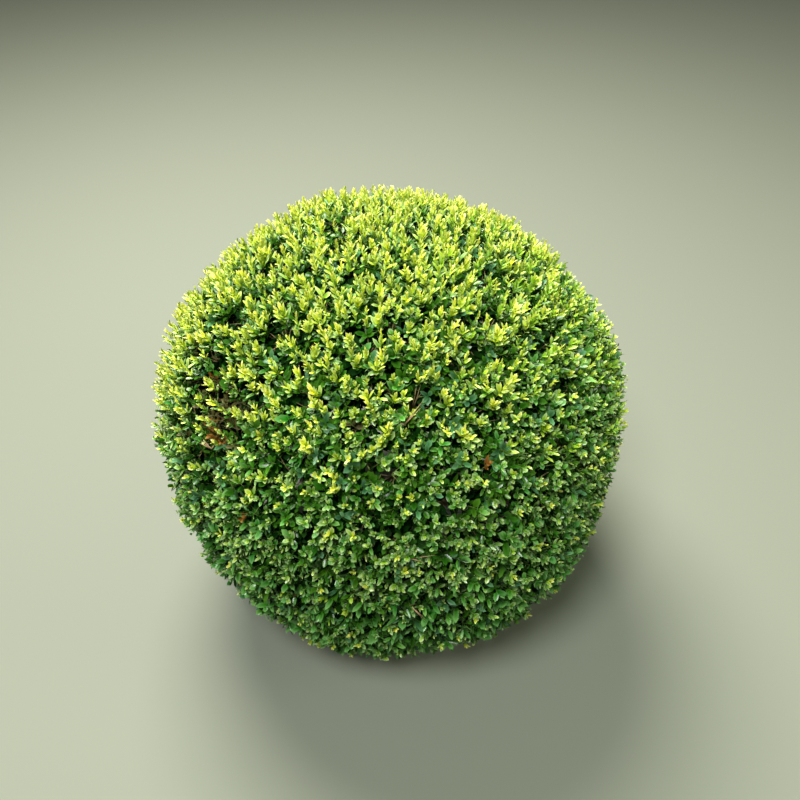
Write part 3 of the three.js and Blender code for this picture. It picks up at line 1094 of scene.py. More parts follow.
class LeafKind(Enum):
    """The kinds of leaf, by age, each with its own finish."""

    # The deepest leaves are coloured near black as painted shade of the ball's inside.
    DEEP = LeafFinish("shaded box leaf, darkest", "leaf", "#062402", "#0E3406", 0.60, 0.06)
    OLD = LeafFinish("old box leaf, dark and waxed", "leaf", "#204C04", "#40721E", 0.25, 0.24)
    # Their grey-blue is painted sheen: the sky's reflection on glossy old leaves, put into their colour.
    BLUISH = LeafFinish("old box leaf, grey-green bloom", "leaf", "#2A5A2C", "#5C8A60", 0.31, 0.22)
    GREEN = LeafFinish("grown box leaf, green", "leaf", "#286A06", "#74A85C", 0.25, 0.24)
    MID = LeafFinish("grown box leaf, light green", "leaf", "#487C06", "#A6C484", 0.25, 0.26)
    # The new leaves' bright, saturated yellow-green is partly their own colour and partly painted glow of
    # light shining through them.
    FRESH = LeafFinish("young box leaf, green", "young_leaf", "#76A402", "#CCDE94", 0.28, 0.26)
    SPRING = LeafFinish("new box leaf, spring green", "young_leaf", "#76A602", "#BAD45C", 0.32, 0.26)
    LIME = LeafFinish("new box leaf, lime", "young_leaf", "#A8BE02", "#D6E480", 0.32, 0.24)
    CREAM = LeafFinish("new box leaf, pale yellow", "young_leaf", "#C6CE04", "#E6E89C", 0.34, 0.24)
    FADED = LeafFinish("fading box leaf, olive brown", "dead_leaf", "#36340E", "#605C2C", 0.6, 0.3)
    DEAD = LeafFinish("dead box leaf, papery brown", "dead_leaf", "#683E0A", "#9A6E26", 0.7, 0.3)


@dataclass(frozen=True)
class Habit:
    """How a shoot carries its opposite pairs of leaves; each range runs from its foot to its tip.

    Attributes:
        kinds: The kind of leaf of each pair, the lowest first.
        leafy: The length of its leafy stretch.
        leaf: The lengths of its leaves.
        slimness: Their widths, as shares of their lengths.
        splay: How far they lean from the shoot, in degrees.
        fold: How deep the blade is folded along its midrib, as a share of its width.
    """

    kinds: tuple[LeafKind, ...]
    leafy: float
    leaf: tuple[float, float]
    slimness: tuple[float, float]
    splay: tuple[float, float]
    fold: float = 0.16


class Spray(Enum):
    """The kinds of leafy shoot."""

    PALE_TUFT = Habit(
        (LeafKind.MID, LeafKind.FRESH, *[LeafKind.LIME] * 3, *[LeafKind.CREAM] * 2),
        0.042,
        (0.0160, 0.0105),
        (0.42, 0.34),
        (44, 14),
    )
    LIME_TUFT = Habit(
        (LeafKind.OLD, LeafKind.MID, LeafKind.FRESH, *[LeafKind.LIME] * 3),
        0.036,
        (0.0150, 0.0098),
        (0.44, 0.36),
        (46, 16),
    )
    GREEN_TUFT = Habit(
        (LeafKind.OLD, LeafKind.MID, *[LeafKind.FRESH] * 2, LeafKind.LIME),
        0.030,
        (0.0140, 0.0092),
        (0.48, 0.40),
        (50, 18),
    )
    ROSETTE = Habit(
        (LeafKind.MID, LeafKind.FRESH, LeafKind.LIME, LeafKind.CREAM),
        0.016,
        (0.0125, 0.0080),
        (0.54, 0.46),
        (60, 24),
    )
    GREEN_ROSETTE = Habit(
        (LeafKind.GREEN, *[LeafKind.MID] * 2, LeafKind.FRESH),
        0.018,
        (0.0130, 0.0085),
        (0.56, 0.48),
        (62, 26),
    )
    SMALL_SPRAY = Habit(
        (LeafKind.OLD, *[LeafKind.MID] * 2, LeafKind.FRESH),
        0.018,
        (0.0125, 0.0085),
        (0.60, 0.54),
        (64, 30),
    )
    GREEN_SPRAY = Habit(
        (LeafKind.OLD, LeafKind.GREEN, LeafKind.MID),
        0.018,
        (0.0140, 0.0105),
        (0.60, 0.54),
        (64, 34),
    )
    LARGE_SPRAY = Habit(
        (LeafKind.OLD, *[LeafKind.GREEN] * 2),
        0.026,
        (0.0230, 0.0180),
        (0.50, 0.44),
        (66, 38),
    )
    OLD_SPRAY = Habit((LeafKind.OLD,) * 3, 0.024, (0.0165, 0.0135), (0.56, 0.52), (70, 42))
    BLUISH_SPRAY = Habit(
        (LeafKind.OLD, *[LeafKind.BLUISH] * 2),
        0.026,
        (0.0190, 0.0155),
        (0.56, 0.50),
        (70, 42),
    )
    DEEP_SPRAY = Habit((LeafKind.DEEP,) * 3, 0.036, (0.0200, 0.0165), (0.62, 0.58), (76, 52))
    FADED_SPRAY = Habit((LeafKind.FADED,) * 3, 0.022, (0.0150, 0.0120), (0.50, 0.46), (70, 42), 0.24)
    DEAD_SPRAY = Habit((LeafKind.DEAD,) * 4, 0.022, (0.0135, 0.0105), (0.42, 0.38), (30, 14), 0.35)
    SPRING_TUFT = Habit(
        (LeafKind.MID, *[LeafKind.SPRING] * 4, LeafKind.LIME),
        0.038,
        (0.0155, 0.0100),
        (0.44, 0.36),
        (46, 16),
    )
    HEM_SPRAY = Habit(
        (LeafKind.OLD, *[LeafKind.GREEN] * 2),
        0.026,
        (0.0260, 0.0200),
        (0.52, 0.46),
        (64, 36),
    )
    SPRING_SPRAY = Habit(
        (LeafKind.GREEN, LeafKind.MID, LeafKind.SPRING),
        0.020,
        (0.0150, 0.0105),
        (0.56, 0.50),
        (60, 28),
    )


SPRAY_NUMBERS = {spray: number for number, spray in enumerate(Spray)}


@dataclass(frozen=True)
class Landmark:
    """Shoots that stand out: their kind, their middle and spread in degrees, and how many there are."""

    spray: Spray
    azimuth: float
    elevation: float
    spread: float
    shoots: int


@dataclass(frozen=True)
class DryTwig:
    """A bare twig that shows at the surface: its direction and the way it points from level, in degrees."""

    azimuth: float
    elevation: float
    turn: float


def directions_to(marks: list[Landmark] | list[DryTwig]) -> Array:
    """The unit vectors towards marks whose azimuths and elevations are in degrees."""
    azimuths = np.radians([mark.azimuth for mark in marks])
    elevations = np.radians([mark.elevation for mark in marks])
    return direction_at(azimuths, elevations)


@dataclass
class Shoots:
    """A set of shoots.

    Attributes:
        feet: Where they start.
        headings: The unit vectors in which they go.
        lengths: How long they are.
        ragged: How far under the outline they end.
        sprays: The numbers of their kinds.
    """

    feet: Array
    headings: Array
    lengths: Array
    ragged: Array
    sprays: Indices

    def of(self, chosen: NDArray[np.bool_]) -> "Shoots":
        """The shoots of this set that are chosen."""
        return Shoots(
            self.feet[chosen],
            self.headings[chosen],
            self.lengths[chosen],
            self.ragged[chosen],
            self.sprays[chosen],
        )


@dataclass
class Surface:
    """What the clipped surface is like where shoots grow, in one reading a shoot.

    Attributes:
        height: Its height over the ground.
        light: How well it is placed for new growth: 1 towards the light, 0 at the sides.
        low_down: 1 near the ground, 0 from the middle up.
        spring: How much of its growth is spring green, from 0 to 1.
        faded: How near the faded spot is: 1 on it, 0 far away.
        patch: How deep in the bare patch it lies: 1 at its middle, 0 far away.
        hollow: How far hollows hold back the shoots.
        clumps: Where growth is thick, above 0, or thin, below 0, over the length of a few sprays.
        clusters: The same over half that length.
    """

    height: Array
    light: Array
    low_down: Array
    spring: Array
    faded: Array
    patch: Array
    hollow: Array
    clumps: Array
    clusters: Array


@dataclass(frozen=True)
class Deal:
    """A rule that makes some shoots another kind, by chance and by where they grow.

    Attributes:
        spray: The kind that it makes them.
        anywhere: Its chance before the surface is looked at.
        light: What is added in full light.
        low_down: What is added near the ground.
        spring: What is added where growth is spring green.
        faded: What is added in the faded spot.
        bare: What is added at the middle of the bare patch.
        clumps: What is added for each step of the clumps' reading.
        least: The smallest chance that is left.
        among: The one kind that it may change, if it may not change all.
    """

    spray: Spray
    anywhere: float = 0.0
    light: float = 0.0
    low_down: float = 0.0
    spring: float = 0.0
    faded: float = 0.0
    bare: float = 0.0
    clumps: float = 0.0
    least: float = 0.0
    among: Spray | None = None

    def chances(self, here: Surface) -> Array:
        """The rule's chance for each shoot."""
        chance = self.anywhere + self.light * here.light + self.low_down * here.low_down
        chance = chance + self.spring * here.spring + self.faded * here.faded
        chance = chance + self.bare * here.patch**2 + self.clumps * here.clumps
        return np.maximum(chance, self.least)


@dataclass(frozen=True)
class Growth:
    """How one set of shoots grows.

    Attributes:
        count: How many directions are tried.
        seed_step: The step from the plan's seed to the one that it is drawn from.
        root: How deep under the outline the shoots start.
        lift: How much they turn up.
        wander: How much their headings differ.
        shortest: The length under which a shoot is left out.
        longest: The length at which it stops.
        usual: The kind that most are.
        deals: The rules that change the kind of some, one after another.
    """

    count: int
    seed_step: int
    root: float
    lift: float
    wander: float
    shortest: float
    longest: float
    usual: Spray
    deals: tuple[Deal, ...]

    def deal_out(self, shoots: Shoots, here: Surface, random: np.random.Generator) -> None:
        """Goes through the rules, one after another.

        Args:
            shoots: The shoots, whose kinds are changed.
            here: The surface where they grow.
            random: The seeded source of chance.
        """
        for deal in self.deals:
            taken = random.uniform(size=len(shoots.sprays)) < deal.chances(here)
            if deal.among is not None:
                taken &= shoots.sprays == SPRAY_NUMBERS[deal.among]
            shoots.sprays[taken] = SPRAY_NUMBERS[deal.spray]


@dataclass
class ShootPlan:
    """Where the shoots grow, how far and of which kind.

    Tufts are the new shoots, sprays the grown ones between them, and the shaded ones lie deeper. Each set is
    tried in directions spread over the ball, and chance and the surface decide where one grows.
    """

    outline: ClippedOutline
    tuft: Growth = Growth(
        count=5200,
        seed_step=0,
        root=0.044,
        lift=1.05,
        wander=0.20,
        shortest=0.014,
        longest=0.065,
        usual=Spray.LIME_TUFT,
        deals=(
            Deal(Spray.ROSETTE, 1.2, light=-1.9),
            Deal(Spray.GREEN_ROSETTE, 0.68, light=-1.1, least=0.1, among=Spray.ROSETTE),
            Deal(Spray.SPRING_TUFT, spring=0.70),
        ),
    )
    spray: Growth = Growth(
        count=13600,
        seed_step=1,
        root=0.048,
        lift=0.35,
        wander=0.32,
        shortest=0.010,
        longest=0.060,
        usual=Spray.SMALL_SPRAY,
        deals=(
            Deal(Spray.GREEN_SPRAY, 0.40, low_down=0.50),
            Deal(Spray.LARGE_SPRAY, 0.10, low_down=0.30),
            Deal(Spray.HEM_SPRAY, low_down=0.45),
            Deal(Spray.SPRING_SPRAY, spring=0.55),
            Deal(Spray.OLD_SPRAY, 0.26, light=0.40, clumps=-0.08),
            # Near the ground more old sprays take the grey-blue colour, which there also stands as painted
            # shade of the lower side.
            Deal(Spray.BLUISH_SPRAY, 0.20, low_down=0.20, among=Spray.OLD_SPRAY),
            Deal(Spray.FADED_SPRAY, 0.006, faded=0.85),
            Deal(Spray.DEAD_SPRAY, 0.0003, bare=0.05),
        ),
    )
    shaded: Growth = Growth(
        count=8400,
        seed_step=9,
        root=0.070,
        lift=0.35,
        wander=0.32,
        shortest=0.010,
        longest=0.050,
        usual=Spray.DEEP_SPRAY,
        deals=(Deal(Spray.FADED_SPRAY, faded=0.85),),
    )
    # The longest way to the outline that is looked at, and how and from what height directions are tried.
    furthest: float = 0.15
    jitter: float = 0.36
    lowest: float = 0.020
    foot_room: float = 0.020
    # How well the surface is placed for new growth, and where it counts as low down.
    sunward: tuple[float, float, float] = (-0.27, 0.22, 0.94)
    light_from: float = 0.05
    light_range: float = 0.70
    large_below: float = 0.47
    large_fade: float = 0.15
    # The share of tufts at the sides, how suddenly it rises towards the light, and where it is less.
    fewest_tufts: float = 0.42
    light_power: float = 1.4
    low_tufts_lost: float = 0.5
    patch_tufts_lost: float = 0.4
    faded_tufts_lost: float = 0.5
    # The patterns in which shoots crowd together, and how far they keep back elsewhere.
    cluster_pull: float = 0.48
    clump_share: float = 0.5
    cluster_length: float = 0.046
    cluster_depth: float = 0.008
    clump_length: float = 0.085
    clump_depth: float = 0.007
    deepest: float = 2.0
    # How far under the outline tufts may end and how seldom, and which ones are green, lime or pale.
    tuft_ragged: float = 0.016
    ragged_power: float = 1.4
    vigour_in_light: float = 0.75
    green_below: float = 0.55
    pale_above: float = 1.02
    bare_hollow: float = 0.6
    # How far under the tufts the sprays end: all of it in full light, a share of it at the sides.
    spray_ragged: float = 0.020
    proud_of_sprays: float = 0.023
    proud_anywhere: float = 0.10
    # The small gaps between sprays, and the bare patch.
    gap_length: float = 0.034
    gap_level: float = 0.25
    gap_thinning: float = 1.2
    patch_thinning: float = 0.5
    patch_power: float = 1.5
    # The share of shaded shoots higher up, where all of them grow, and how far under the outline they end.
    deep_share_above: float = 0.52
    dense_below: float = 0.60
    dense_fade: float = 0.12
    deep_stop: float = 0.030
    deep_ragged: float = 0.010
    deep_proud: float = 0.4
    # Small dark hollows, shoots that stand out, bare dry twigs, and where growth is faded or spring green.
    hollows: tuple[Spot, ...] = (
        Spot(-127, 40, 2.6, 0.022),
        Spot(-91, 41, 2.4, 0.022),
        Spot(-78, 29, 2.2, 0.022),
        Spot(-98, 15, 2.4, 0.022),
        Spot(-108, -7, 2.6, 0.022),
        Spot(-86, -3, 2.2, 0.020),
        Spot(-71, -4, 2.2, 0.020),
        Spot(-149, 22, 2.6, 0.022),
        Spot(-136, 13, 2.4, 0.024),
    )
    landmarks: tuple[Landmark, ...] = (
        Landmark(Spray.DEAD_SPRAY, -147.5, 26.7, 0.5, 1),
        Landmark(Spray.DEAD_SPRAY, -142.6, 18.9, 0.5, 1),
        Landmark(Spray.DEAD_SPRAY, -138.6, 16.6, 0.5, 2),
        Landmark(Spray.DEAD_SPRAY, -137.8, 14.8, 0.5, 2),
        Landmark(Spray.DEAD_SPRAY, -124.0, 5.4, 0.4, 1),
        Landmark(Spray.DEAD_SPRAY, -68.2, 20.9, 0.4, 1),
        Landmark(Spray.LARGE_SPRAY, -85.9, 35.0, 0.8, 2),
        Landmark(Spray.LARGE_SPRAY, -91.5, 41.0, 0.6, 1),
        Landmark(Spray.LARGE_SPRAY, -78.9, 27.0, 0.6, 1),
        Landmark(Spray.BLUISH_SPRAY, -98.4, 26.0, 0.6, 1),
        Landmark(Spray.BLUISH_SPRAY, -73.4, 23.5, 0.6, 1),
        Landmark(Spray.BLUISH_SPRAY, -83.6, 17.0, 0.6, 1),
        Landmark(Spray.BLUISH_SPRAY, -106.4, 2.0, 0.6, 1),
    )
    dry: tuple[DryTwig, ...] = (
        DryTwig(-81.8, 36.6, 30.0),
        DryTwig(-83.4, 6.7, 40.0),
        DryTwig(-82.1, -15.7, -20.0),
        DryTwig(-140.3, 17.4, 80.0),
    )
    landmark_stop: float = 0.010
    dry_root: float = 0.030
    dry_lean: float = 0.9
    dry_forks: int = 3
    dry_spread: float = 0.24
    dry_longest: float = 0.06
    faded_spot: Spot = Spot(-145.0, 20.0, 8.0)
    spring_places: tuple[Spot, ...] = (Spot(-12.0, 34.0, 32.0), Spot(-103.0, -17.0, 7.0))
    seed: int = 20110521
    cluster_seed_step: int = 9
    gap_seed_step: int = 5
    dry_seed_step: int = 3

    def surface(self, directions: Array) -> Surface:
        """Reads what the clipped surface is like.

        Args:
            directions: Unit vectors from the waist's centre.

        Returns:
            The readings in each direction.
        """
        outer = self.outline.shell_points(directions, 0.0)
        lit = self.outline.normals(directions) @ np.array(self.sunward)
        hollow = np.zeros(len(directions))
        for dip in self.hollows:
            hollow = hollow + dip.measure * dip.nearness(directions)
        return Surface(
            height=outer[:, 2],
            light=np.clip((lit - self.light_from) / self.light_range, 0, 1),
            low_down=np.clip((self.large_below - outer[:, 2]) / self.large_fade, 0, 1),
            spring=np.max([place.nearness(directions) for place in self.spring_places], axis=0),
            faded=self.faded_spot.nearness(directions),
            patch=self.outline.patch(directions),
            hollow=hollow,
            clumps=Ripple(self.clump_length, self.seed).at(outer),
            clusters=Ripple(self.cluster_length, self.seed + self.cluster_seed_step).at(outer),
        )

    def landmark_shoots(self, random: np.random.Generator) -> tuple[Array, list[int]]:
        """The directions and the kinds of the shoots that stand out, close together at each landmark."""
        grown = [mark for mark in self.landmarks for _ in range(mark.shoots)]
        spreads = np.radians([mark.spread for mark in grown])
        stray = random.normal(size=(len(grown), 3)) * spreads[:, None]
        return unit(directions_to(grown) + stray), [SPRAY_NUMBERS[mark.spray] for mark in grown]

    def kept_back(self, ragged: Array, here: Surface) -> Array:
        """Adds how far shoots keep back between clusters and clumps to how far under the outline they end."""
        ragged = ragged + self.cluster_depth * np.clip(-here.clusters, 0, self.deepest)
        return ragged + self.clump_depth * np.clip(-here.clumps, 0, self.deepest)

    def grow(self, directions: Array, growth: Growth, ragged: Array, random: np.random.Generator) -> Shoots:
        """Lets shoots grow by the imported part's rule: outwards and up, until they meet the clipped outline.

        Args:
            directions: Where each shoot starts, as seen from the waist's centre.
            growth: How this set of shoots grows.
            ragged: How far under the outline each one ends.
            random: The seeded source of chance.

        Returns:
            The shoots, all of the usual kind.
        """
        feet = self.outline.shell_points(directions, growth.root)
        stray = random.normal(size=directions.shape) * growth.wander
        headings = unit(self.outline.normals(directions) + UP * growth.lift + stray)
        lengths = self.outline.room_to_grow(feet, headings, ragged, self.furthest)
        usual = np.full(len(feet), SPRAY_NUMBERS[growth.usual])
        return Shoots(feet, headings, np.minimum(lengths, growth.longest), ragged, usual)

    def tufts(self) -> Shoots:
        """Plans the new shoots, which stand proud of the older leaves and are closest where they see the sky.

        Returns:
            The new shoots.
        """
        random = np.random.default_rng(self.seed + self.tuft.seed_step)
        directions = spread_directions(self.tuft.count, self.jitter, random)
        here = self.surface(directions)
        wanted = self.fewest_tufts + (1 - self.fewest_tufts) * here.light**self.light_power
        gathered = 1 + self.cluster_pull * (here.clusters + self.clump_share * here.clumps)
        wanted = wanted * (1 - self.low_tufts_lost * here.low_down) * gathered
        wanted = wanted - self.patch_tufts_lost * here.patch - self.faded_tufts_lost * here.faded
        grows = random.uniform(size=len(wanted)) < wanted
        directions = directions[grows & (here.height > self.lowest + self.foot_room)]
        here = self.surface(directions)
        ragged = random.uniform(size=len(directions)) ** self.ragged_power * self.tuft_ragged
        ragged = self.kept_back(ragged, here) + here.hollow
        shoots = self.grow(directions, self.tuft, ragged, random)
        vigour = random.uniform(size=len(directions)) + self.vigour_in_light * here.light
        shoots.sprays[vigour < self.green_below] = SPRAY_NUMBERS[Spray.GREEN_TUFT]
        shoots.sprays[vigour > self.pale_above] = SPRAY_NUMBERS[Spray.PALE_TUFT]
        self.tuft.deal_out(shoots, here, random)
        outside = here.hollow < self.bare_hollow * self.hollows[0].measure
        return shoots.of((shoots.lengths > self.tuft.shortest) & outside)

    def sprays(self) -> Shoots:
        """Plans the grown shoots between the tufts, whose older leaves make the surface of the sides.

        Returns:
            The grown shoots, thinner and partly faded or dead in the bare patch, and the ones that stand out.
        """
        random = np.random.default_rng(self.seed + self.spray.seed_step)
        living = spread_directions(self.spray.count, self.jitter, random)
        around = self.outline.shell_points(living, 0.0)
        pattern = Ripple(self.gap_length, self.seed + self.gap_seed_step).at(around)
        gaps = np.clip(-pattern - self.gap_level, 0, 1)
        bareness = self.outline.patch(living) ** self.patch_power
        missing = self.patch_thinning * bareness + self.gap_thinning * gaps
        thinned = random.uniform(size=len(living)) < missing
        living = living[(around[:, 2] > self.lowest) & ~thinned]
        marked, marks = self.landmark_shoots(random)
        directions = np.concatenate([living, marked])
        ordinary = np.arange(len(directions)) < len(living)
        here = self.surface(directions)
        ragged = self.kept_back(random.uniform(size=len(directions)) * self.spray_ragged, here)
        overtopped = self.proud_anywhere + (1 - self.proud_anywhere) * here.light
        ragged = ragged + self.proud_of_sprays * overtopped
        ragged = np.where(ordinary, ragged + here.hollow, self.landmark_stop)
        shoots = self.grow(directions, self.spray, ragged, random)
        self.spray.deal_out(shoots, here, random)
        shoots.sprays[~ordinary] = marks
        return shoots.of(shoots.lengths > self.spray.shortest)

    def deep(self) -> Shoots:
        """Plans the darker shoots behind the surface, which close the view to the bare inside.

        Returns:
            The shoots, each with large leaves coloured near black as painted shade.
        """
        random = np.random.default_rng(self.seed + self.shaded.seed_step)
        directions = spread_directions(self.shaded.count, self.jitter, random)
        heights = self.outline.shell_points(directions, self.shaded.root)[:, 2]
        low = np.clip((self.dense_below - heights) / self.dense_fade, 0, 1)
        wanted = self.deep_share_above + (1 - self.deep_share_above) * low
        grows = random.uniform(size=len(heights)) < wanted
        directions = directions[grows & (heights > self.lowest + self.foot_room)]
        here = self.surface(directions)
        ragged = self.deep_stop + random.uniform(size=len(directions)) * self.deep_ragged
        ragged = ragged + self.deep_proud * self.proud_of_sprays * here.light
        shoots = self.grow(directions, self.shaded, ragged, random)
        self.shaded.deal_out(shoots, here, random)
        return shoots.of(shoots.lengths > self.shaded.shortest)

    def dry_twigs(self) -> Shoots:
        """Plans the bare dry twigs that lie across the surface.

        Returns:
            The twigs, forked from the foot, without leaves.
        """
        random = np.random.default_rng(self.seed + self.dry_seed_step)
        twigs = [twig for twig in self.dry for _ in range(self.dry_forks)]
        turns = np.radians([twig.turn for twig in twigs])
        directions = directions_to(twigs)
        normals = self.outline.normals(directions)
        level = unit(np.cross(UP, normals))
        sideways = turned(level, np.cross(normals, level), turns)
        feet = self.outline.shell_points(directions, self.dry_root) - sideways * self.dry_root / self.dry_lean
        headings = unit(normals * self.dry_lean + sideways + random.normal(size=feet.shape) * self.dry_spread)
        lengths = self.outline.room_to_grow(feet, headings, 0.0, self.dry_longest)
        return Shoots(feet, headings, lengths, np.zeros(len(feet)), np.zeros(len(feet), int))


@dataclass
class Shootwork:
    """The shoots' own thin stems, and the dry twigs, from the twigs that carry them to their tips."""

    outline: ClippedOutline
    root_radius: float = 0.0009
    tip_radius: float = 0.0006
    sides: int = 3
    finish: TwigFinish = TwigFinish("new box shoot, green", "#7E9440", "#56692C")

    def build(self, twigwork: Twigwork, name: str, shoots: Shoots, places: Array) -> None:
        """Joins and dresses the stems of a set of shoots.

        Args:
            twigwork: Which finds the nearest twig.
            name: The piece's name.
            shoots: The shoots.
            places: Where they may fork off the twigs.
        """
        carriers = places[twigwork.nearest(places, shoots.feet)]
        tips = shoots.feet + shoots.headings * shoots.lengths[:, None]
        lines = np.stack([carriers, shoots.feet, tips], axis=1)
        radii = np.broadcast_to(np.linspace(self.root_radius, self.tip_radius, 3), lines.shape[:2])
        vertices, faces = tubes(lines, radii, self.sides)
        vertices[:, 2] = np.maximum(vertices[:, 2], self.outline.ground_clearance)
        piece = mesh_piece(name, vertices, faces, {})
        hand_over(piece, self.finish.material(), "twig", "foliage")


@dataclass
class LeafShape:
    """The outline of a leaf and its six faces, which meet on the midrib.

    Attributes:
        widest: Where the blade is widest, as shares of its length below and above the middle.
        belly: The half widths there.
        middle: Where the faces meet.
        droop: How far the tip bends back.
        upper_droop: The share of that by which the upper corners do.
        paleness: How pale each corner is: the middle first, then round from the foot; partly the leaf's
            lighter margin and partly a painted highlight.
    """

    widest: tuple[float, float] = (0.32, 0.74)
    belly: tuple[float, float] = (0.46, 0.42)
    middle: float = 0.48
    droop: float = 0.10
    upper_droop: float = 0.35
    paleness: tuple[float, ...] = (0.30, 0.0, 0.50, 0.85, 1.0, 0.85, 0.50)

    def corners(self) -> Array:
        """The corners as shares of length along, width across and length up: the middle first, then round."""
        lower, upper = self.widest
        low, high = self.belly
        fall = -self.upper_droop * self.droop
        return np.array(
            [
                [self.middle, 0.0, 0.0],
                [0.0, 0.0, 0.0],
                [lower, -low, 0.0],
                [upper, -high, fall],
                [1.0, 0.0, -self.droop],
                [upper, high, fall],
                [lower, low, 0.0],
            ]
        )

    def faces(self) -> Indices:
        """The triangles, with the upper side in front."""
        return np.array([[0, i, i % 6 + 1] for i in range(1, 7)])


@dataclass
class Leaves:
    """All leaves, in opposite pairs along the shoots, joined by kind."""

    outline: ClippedOutline
    shape: LeafShape = field(default_factory=LeafShape)
    # How unevenly leaves turn round the shoot, lean from it in degrees, and roll about their midribs.
    turn_jitter: float = 0.48
    level_jitter: float = 0.2
    splay_jitter: float = 11.0
    roll_jitter: float = 0.32
    # How much leaves and whole shoots differ in size and in tone.
    size_jitter: float = 0.18
    shoot_size: float = 0.16
    shoot_sizes: tuple[float, float] = (0.6, 1.35)
    shoot_tone: float = 0.42
    leaf_tone: float = 0.30
    # The leaves' limits, and how far under the outline they end, as a share of how far their shoot does.
    shortest: float = 0.004
    longest: float = 0.04
    stop: float = 0.3
    # Where the pairs sit, as shares of the shoot or its leafy stretch, and the room above the last pair, as a
    # share of a leaf.
    leafy_share: float = 0.9
    first_pair: float = 0.10
    free_tip: float = 0.6
    last_pair_above: float = 0.3
    pairs_above: float = 0.05
    # What chance is drawn from, and the corners and tones of each kind's leaves so far.
    random: np.random.Generator = field(default_factory=lambda: np.random.default_rng(LEAF_SEED))
    blades: dict[LeafKind, list[Array]] = field(default_factory=lambda: {kind: [] for kind in LeafKind})
    tones: dict[LeafKind, list[Array]] = field(default_factory=lambda: {kind: [] for kind in LeafKind})

    def stray(self, count: int, amount: float) -> Array:
        """Draws how far each of some leaves strays from the usual."""
        return self.random.normal(size=count) * amount

    def add_shoots(self, shoots: Shoots) -> None:
        """Sets leaves on shoots, each by its kind's habit."""
        for spray, number in SPRAY_NUMBERS.items():
            chosen = shoots.of(shoots.sprays == number)
            if len(chosen.feet):
                self.add_spray(spray.value, chosen)

    def add_spray(self, habit: Habit, shoots: Shoots) -> None:
        """Sets the pairs of leaves on shoots of one kind.

        Args:
            habit: How such a shoot carries its leaves.
            shoots: The shoots of that kind.
        """
        count = len(shoots.feet)
        above = UP + self.random.normal(size=(count, 3)) * self.level_jitter
        across = unit(np.cross(shoots.headings, above))
        beside = np.cross(shoots.headings, across)
        first_turn = self.random.uniform(0, math.pi, count)
        tone = self.stray(count, self.shoot_tone)
        size = np.clip(1 + self.stray(count, self.shoot_size), *self.shoot_sizes)
        stretch = np.minimum(habit.leafy, shoots.lengths * self.leafy_share)
        below_tip = shoots.lengths - self.free_tip * habit.leaf[1]
        tipward = np.maximum(below_tip, self.last_pair_above * shoots.lengths)
        pairs = len(habit.kinds)
        for pair, kind in enumerate(habit.kinds):
            share = pair / max(pairs - 1, 1)
            place = tipward - stretch * (1 - share) * (1 - self.first_pair)
            place = np.clip(place, self.pairs_above * shoots.lengths, shoots.lengths)
            feet = shoots.feet + shoots.headings * place[:, None]
            for side in (0, 1):
                turn = first_turn + pair * math.pi / 2 + side * math.pi + self.stray(count, self.turn_jitter)
                outward = turned(across, beside, turn)
                self.add_leaves(habit, kind, share, feet, shoots, outward, tone, size)

    def add_leaves(
        self,
        habit: Habit,
        kind: LeafKind,
        share: float,
        feet: Array,
        shoots: Shoots,
        outward: Array,
        tone: Array,
        size: Array,
    ) -> None:
        """Sets one leaf of a pair on each shoot.

        Args:
            habit: How such a shoot carries its leaves.
            kind: The leaves' kind.
            share: How far up the leafy stretch the pair sits.
            feet: Where the leaves leave the shoots.
            shoots: The shoots.
            outward: The way in which each leaf leans from its shoot.
            tone: How light each shoot's leaves are.
            size: How large they are, as shares of the usual.
        """
        count = len(feet)
        low, high = habit.splay
        splay = np.radians(low + (high - low) * share + self.stray(count, self.splay_jitter))
        along = turned(shoots.headings, outward, splay)
        above = turned(-outward, shoots.headings, splay)
        roll = self.stray(count, self.roll_jitter)
        above = turned(above, np.cross(above, along), roll)
        base, last = habit.leaf
        usual = (base + (last - base) * share) * size
        length = usual * (1 + self.stray(count, self.size_jitter))
        room = self.outline.room_to_grow(feet, along, self.stop * shoots.ragged, self.longest)
        length = np.minimum(length, room)
        wide, slim = habit.slimness
        width = usual * (wide + (slim - wide) * share)
        width = width * (1 + self.stray(count, self.size_jitter))
        corners = self.place(feet, along, above, length, width, habit.fold)
        kept = (length > self.shortest) & (corners[..., 2].min(axis=1) > self.outline.ground_clearance)
        self.blades[kind].append(corners[kept])
        self.tones[kind].append((tone + self.stray(count, self.leaf_tone))[kept])

    def place(
        self,
        feet: Array,
        along: Array,
        above: Array,
        length: Array,
        width: Array,
        fold: float,
    ) -> Array:
        """Places the corners of leaves.

        Args:
            feet: Where the leaves leave their shoots.
            along: Unit vectors from root to tip.
            above: Unit vectors out of their upper sides.
            length: Their lengths.
            width: Their widths.
            fold: How deep the blade is folded, as a share of its width.

        Returns:
            Places of shape (leaf, corner, 3).
        """
        shape = self.shape.corners()
        level = np.cross(above, along)
        onward = shape[None, :, 0, None] * (along * length[:, None])[:, None]
        aside = shape[None, :, 1, None] * (level * width[:, None])[:, None]
        raised = shape[None, :, 2, None] * (above * length[:, None])[:, None]
        corners = feet[:, None] + onward + aside + raised
        corners[:, 0] -= above * (fold * width)[:, None]
        return corners

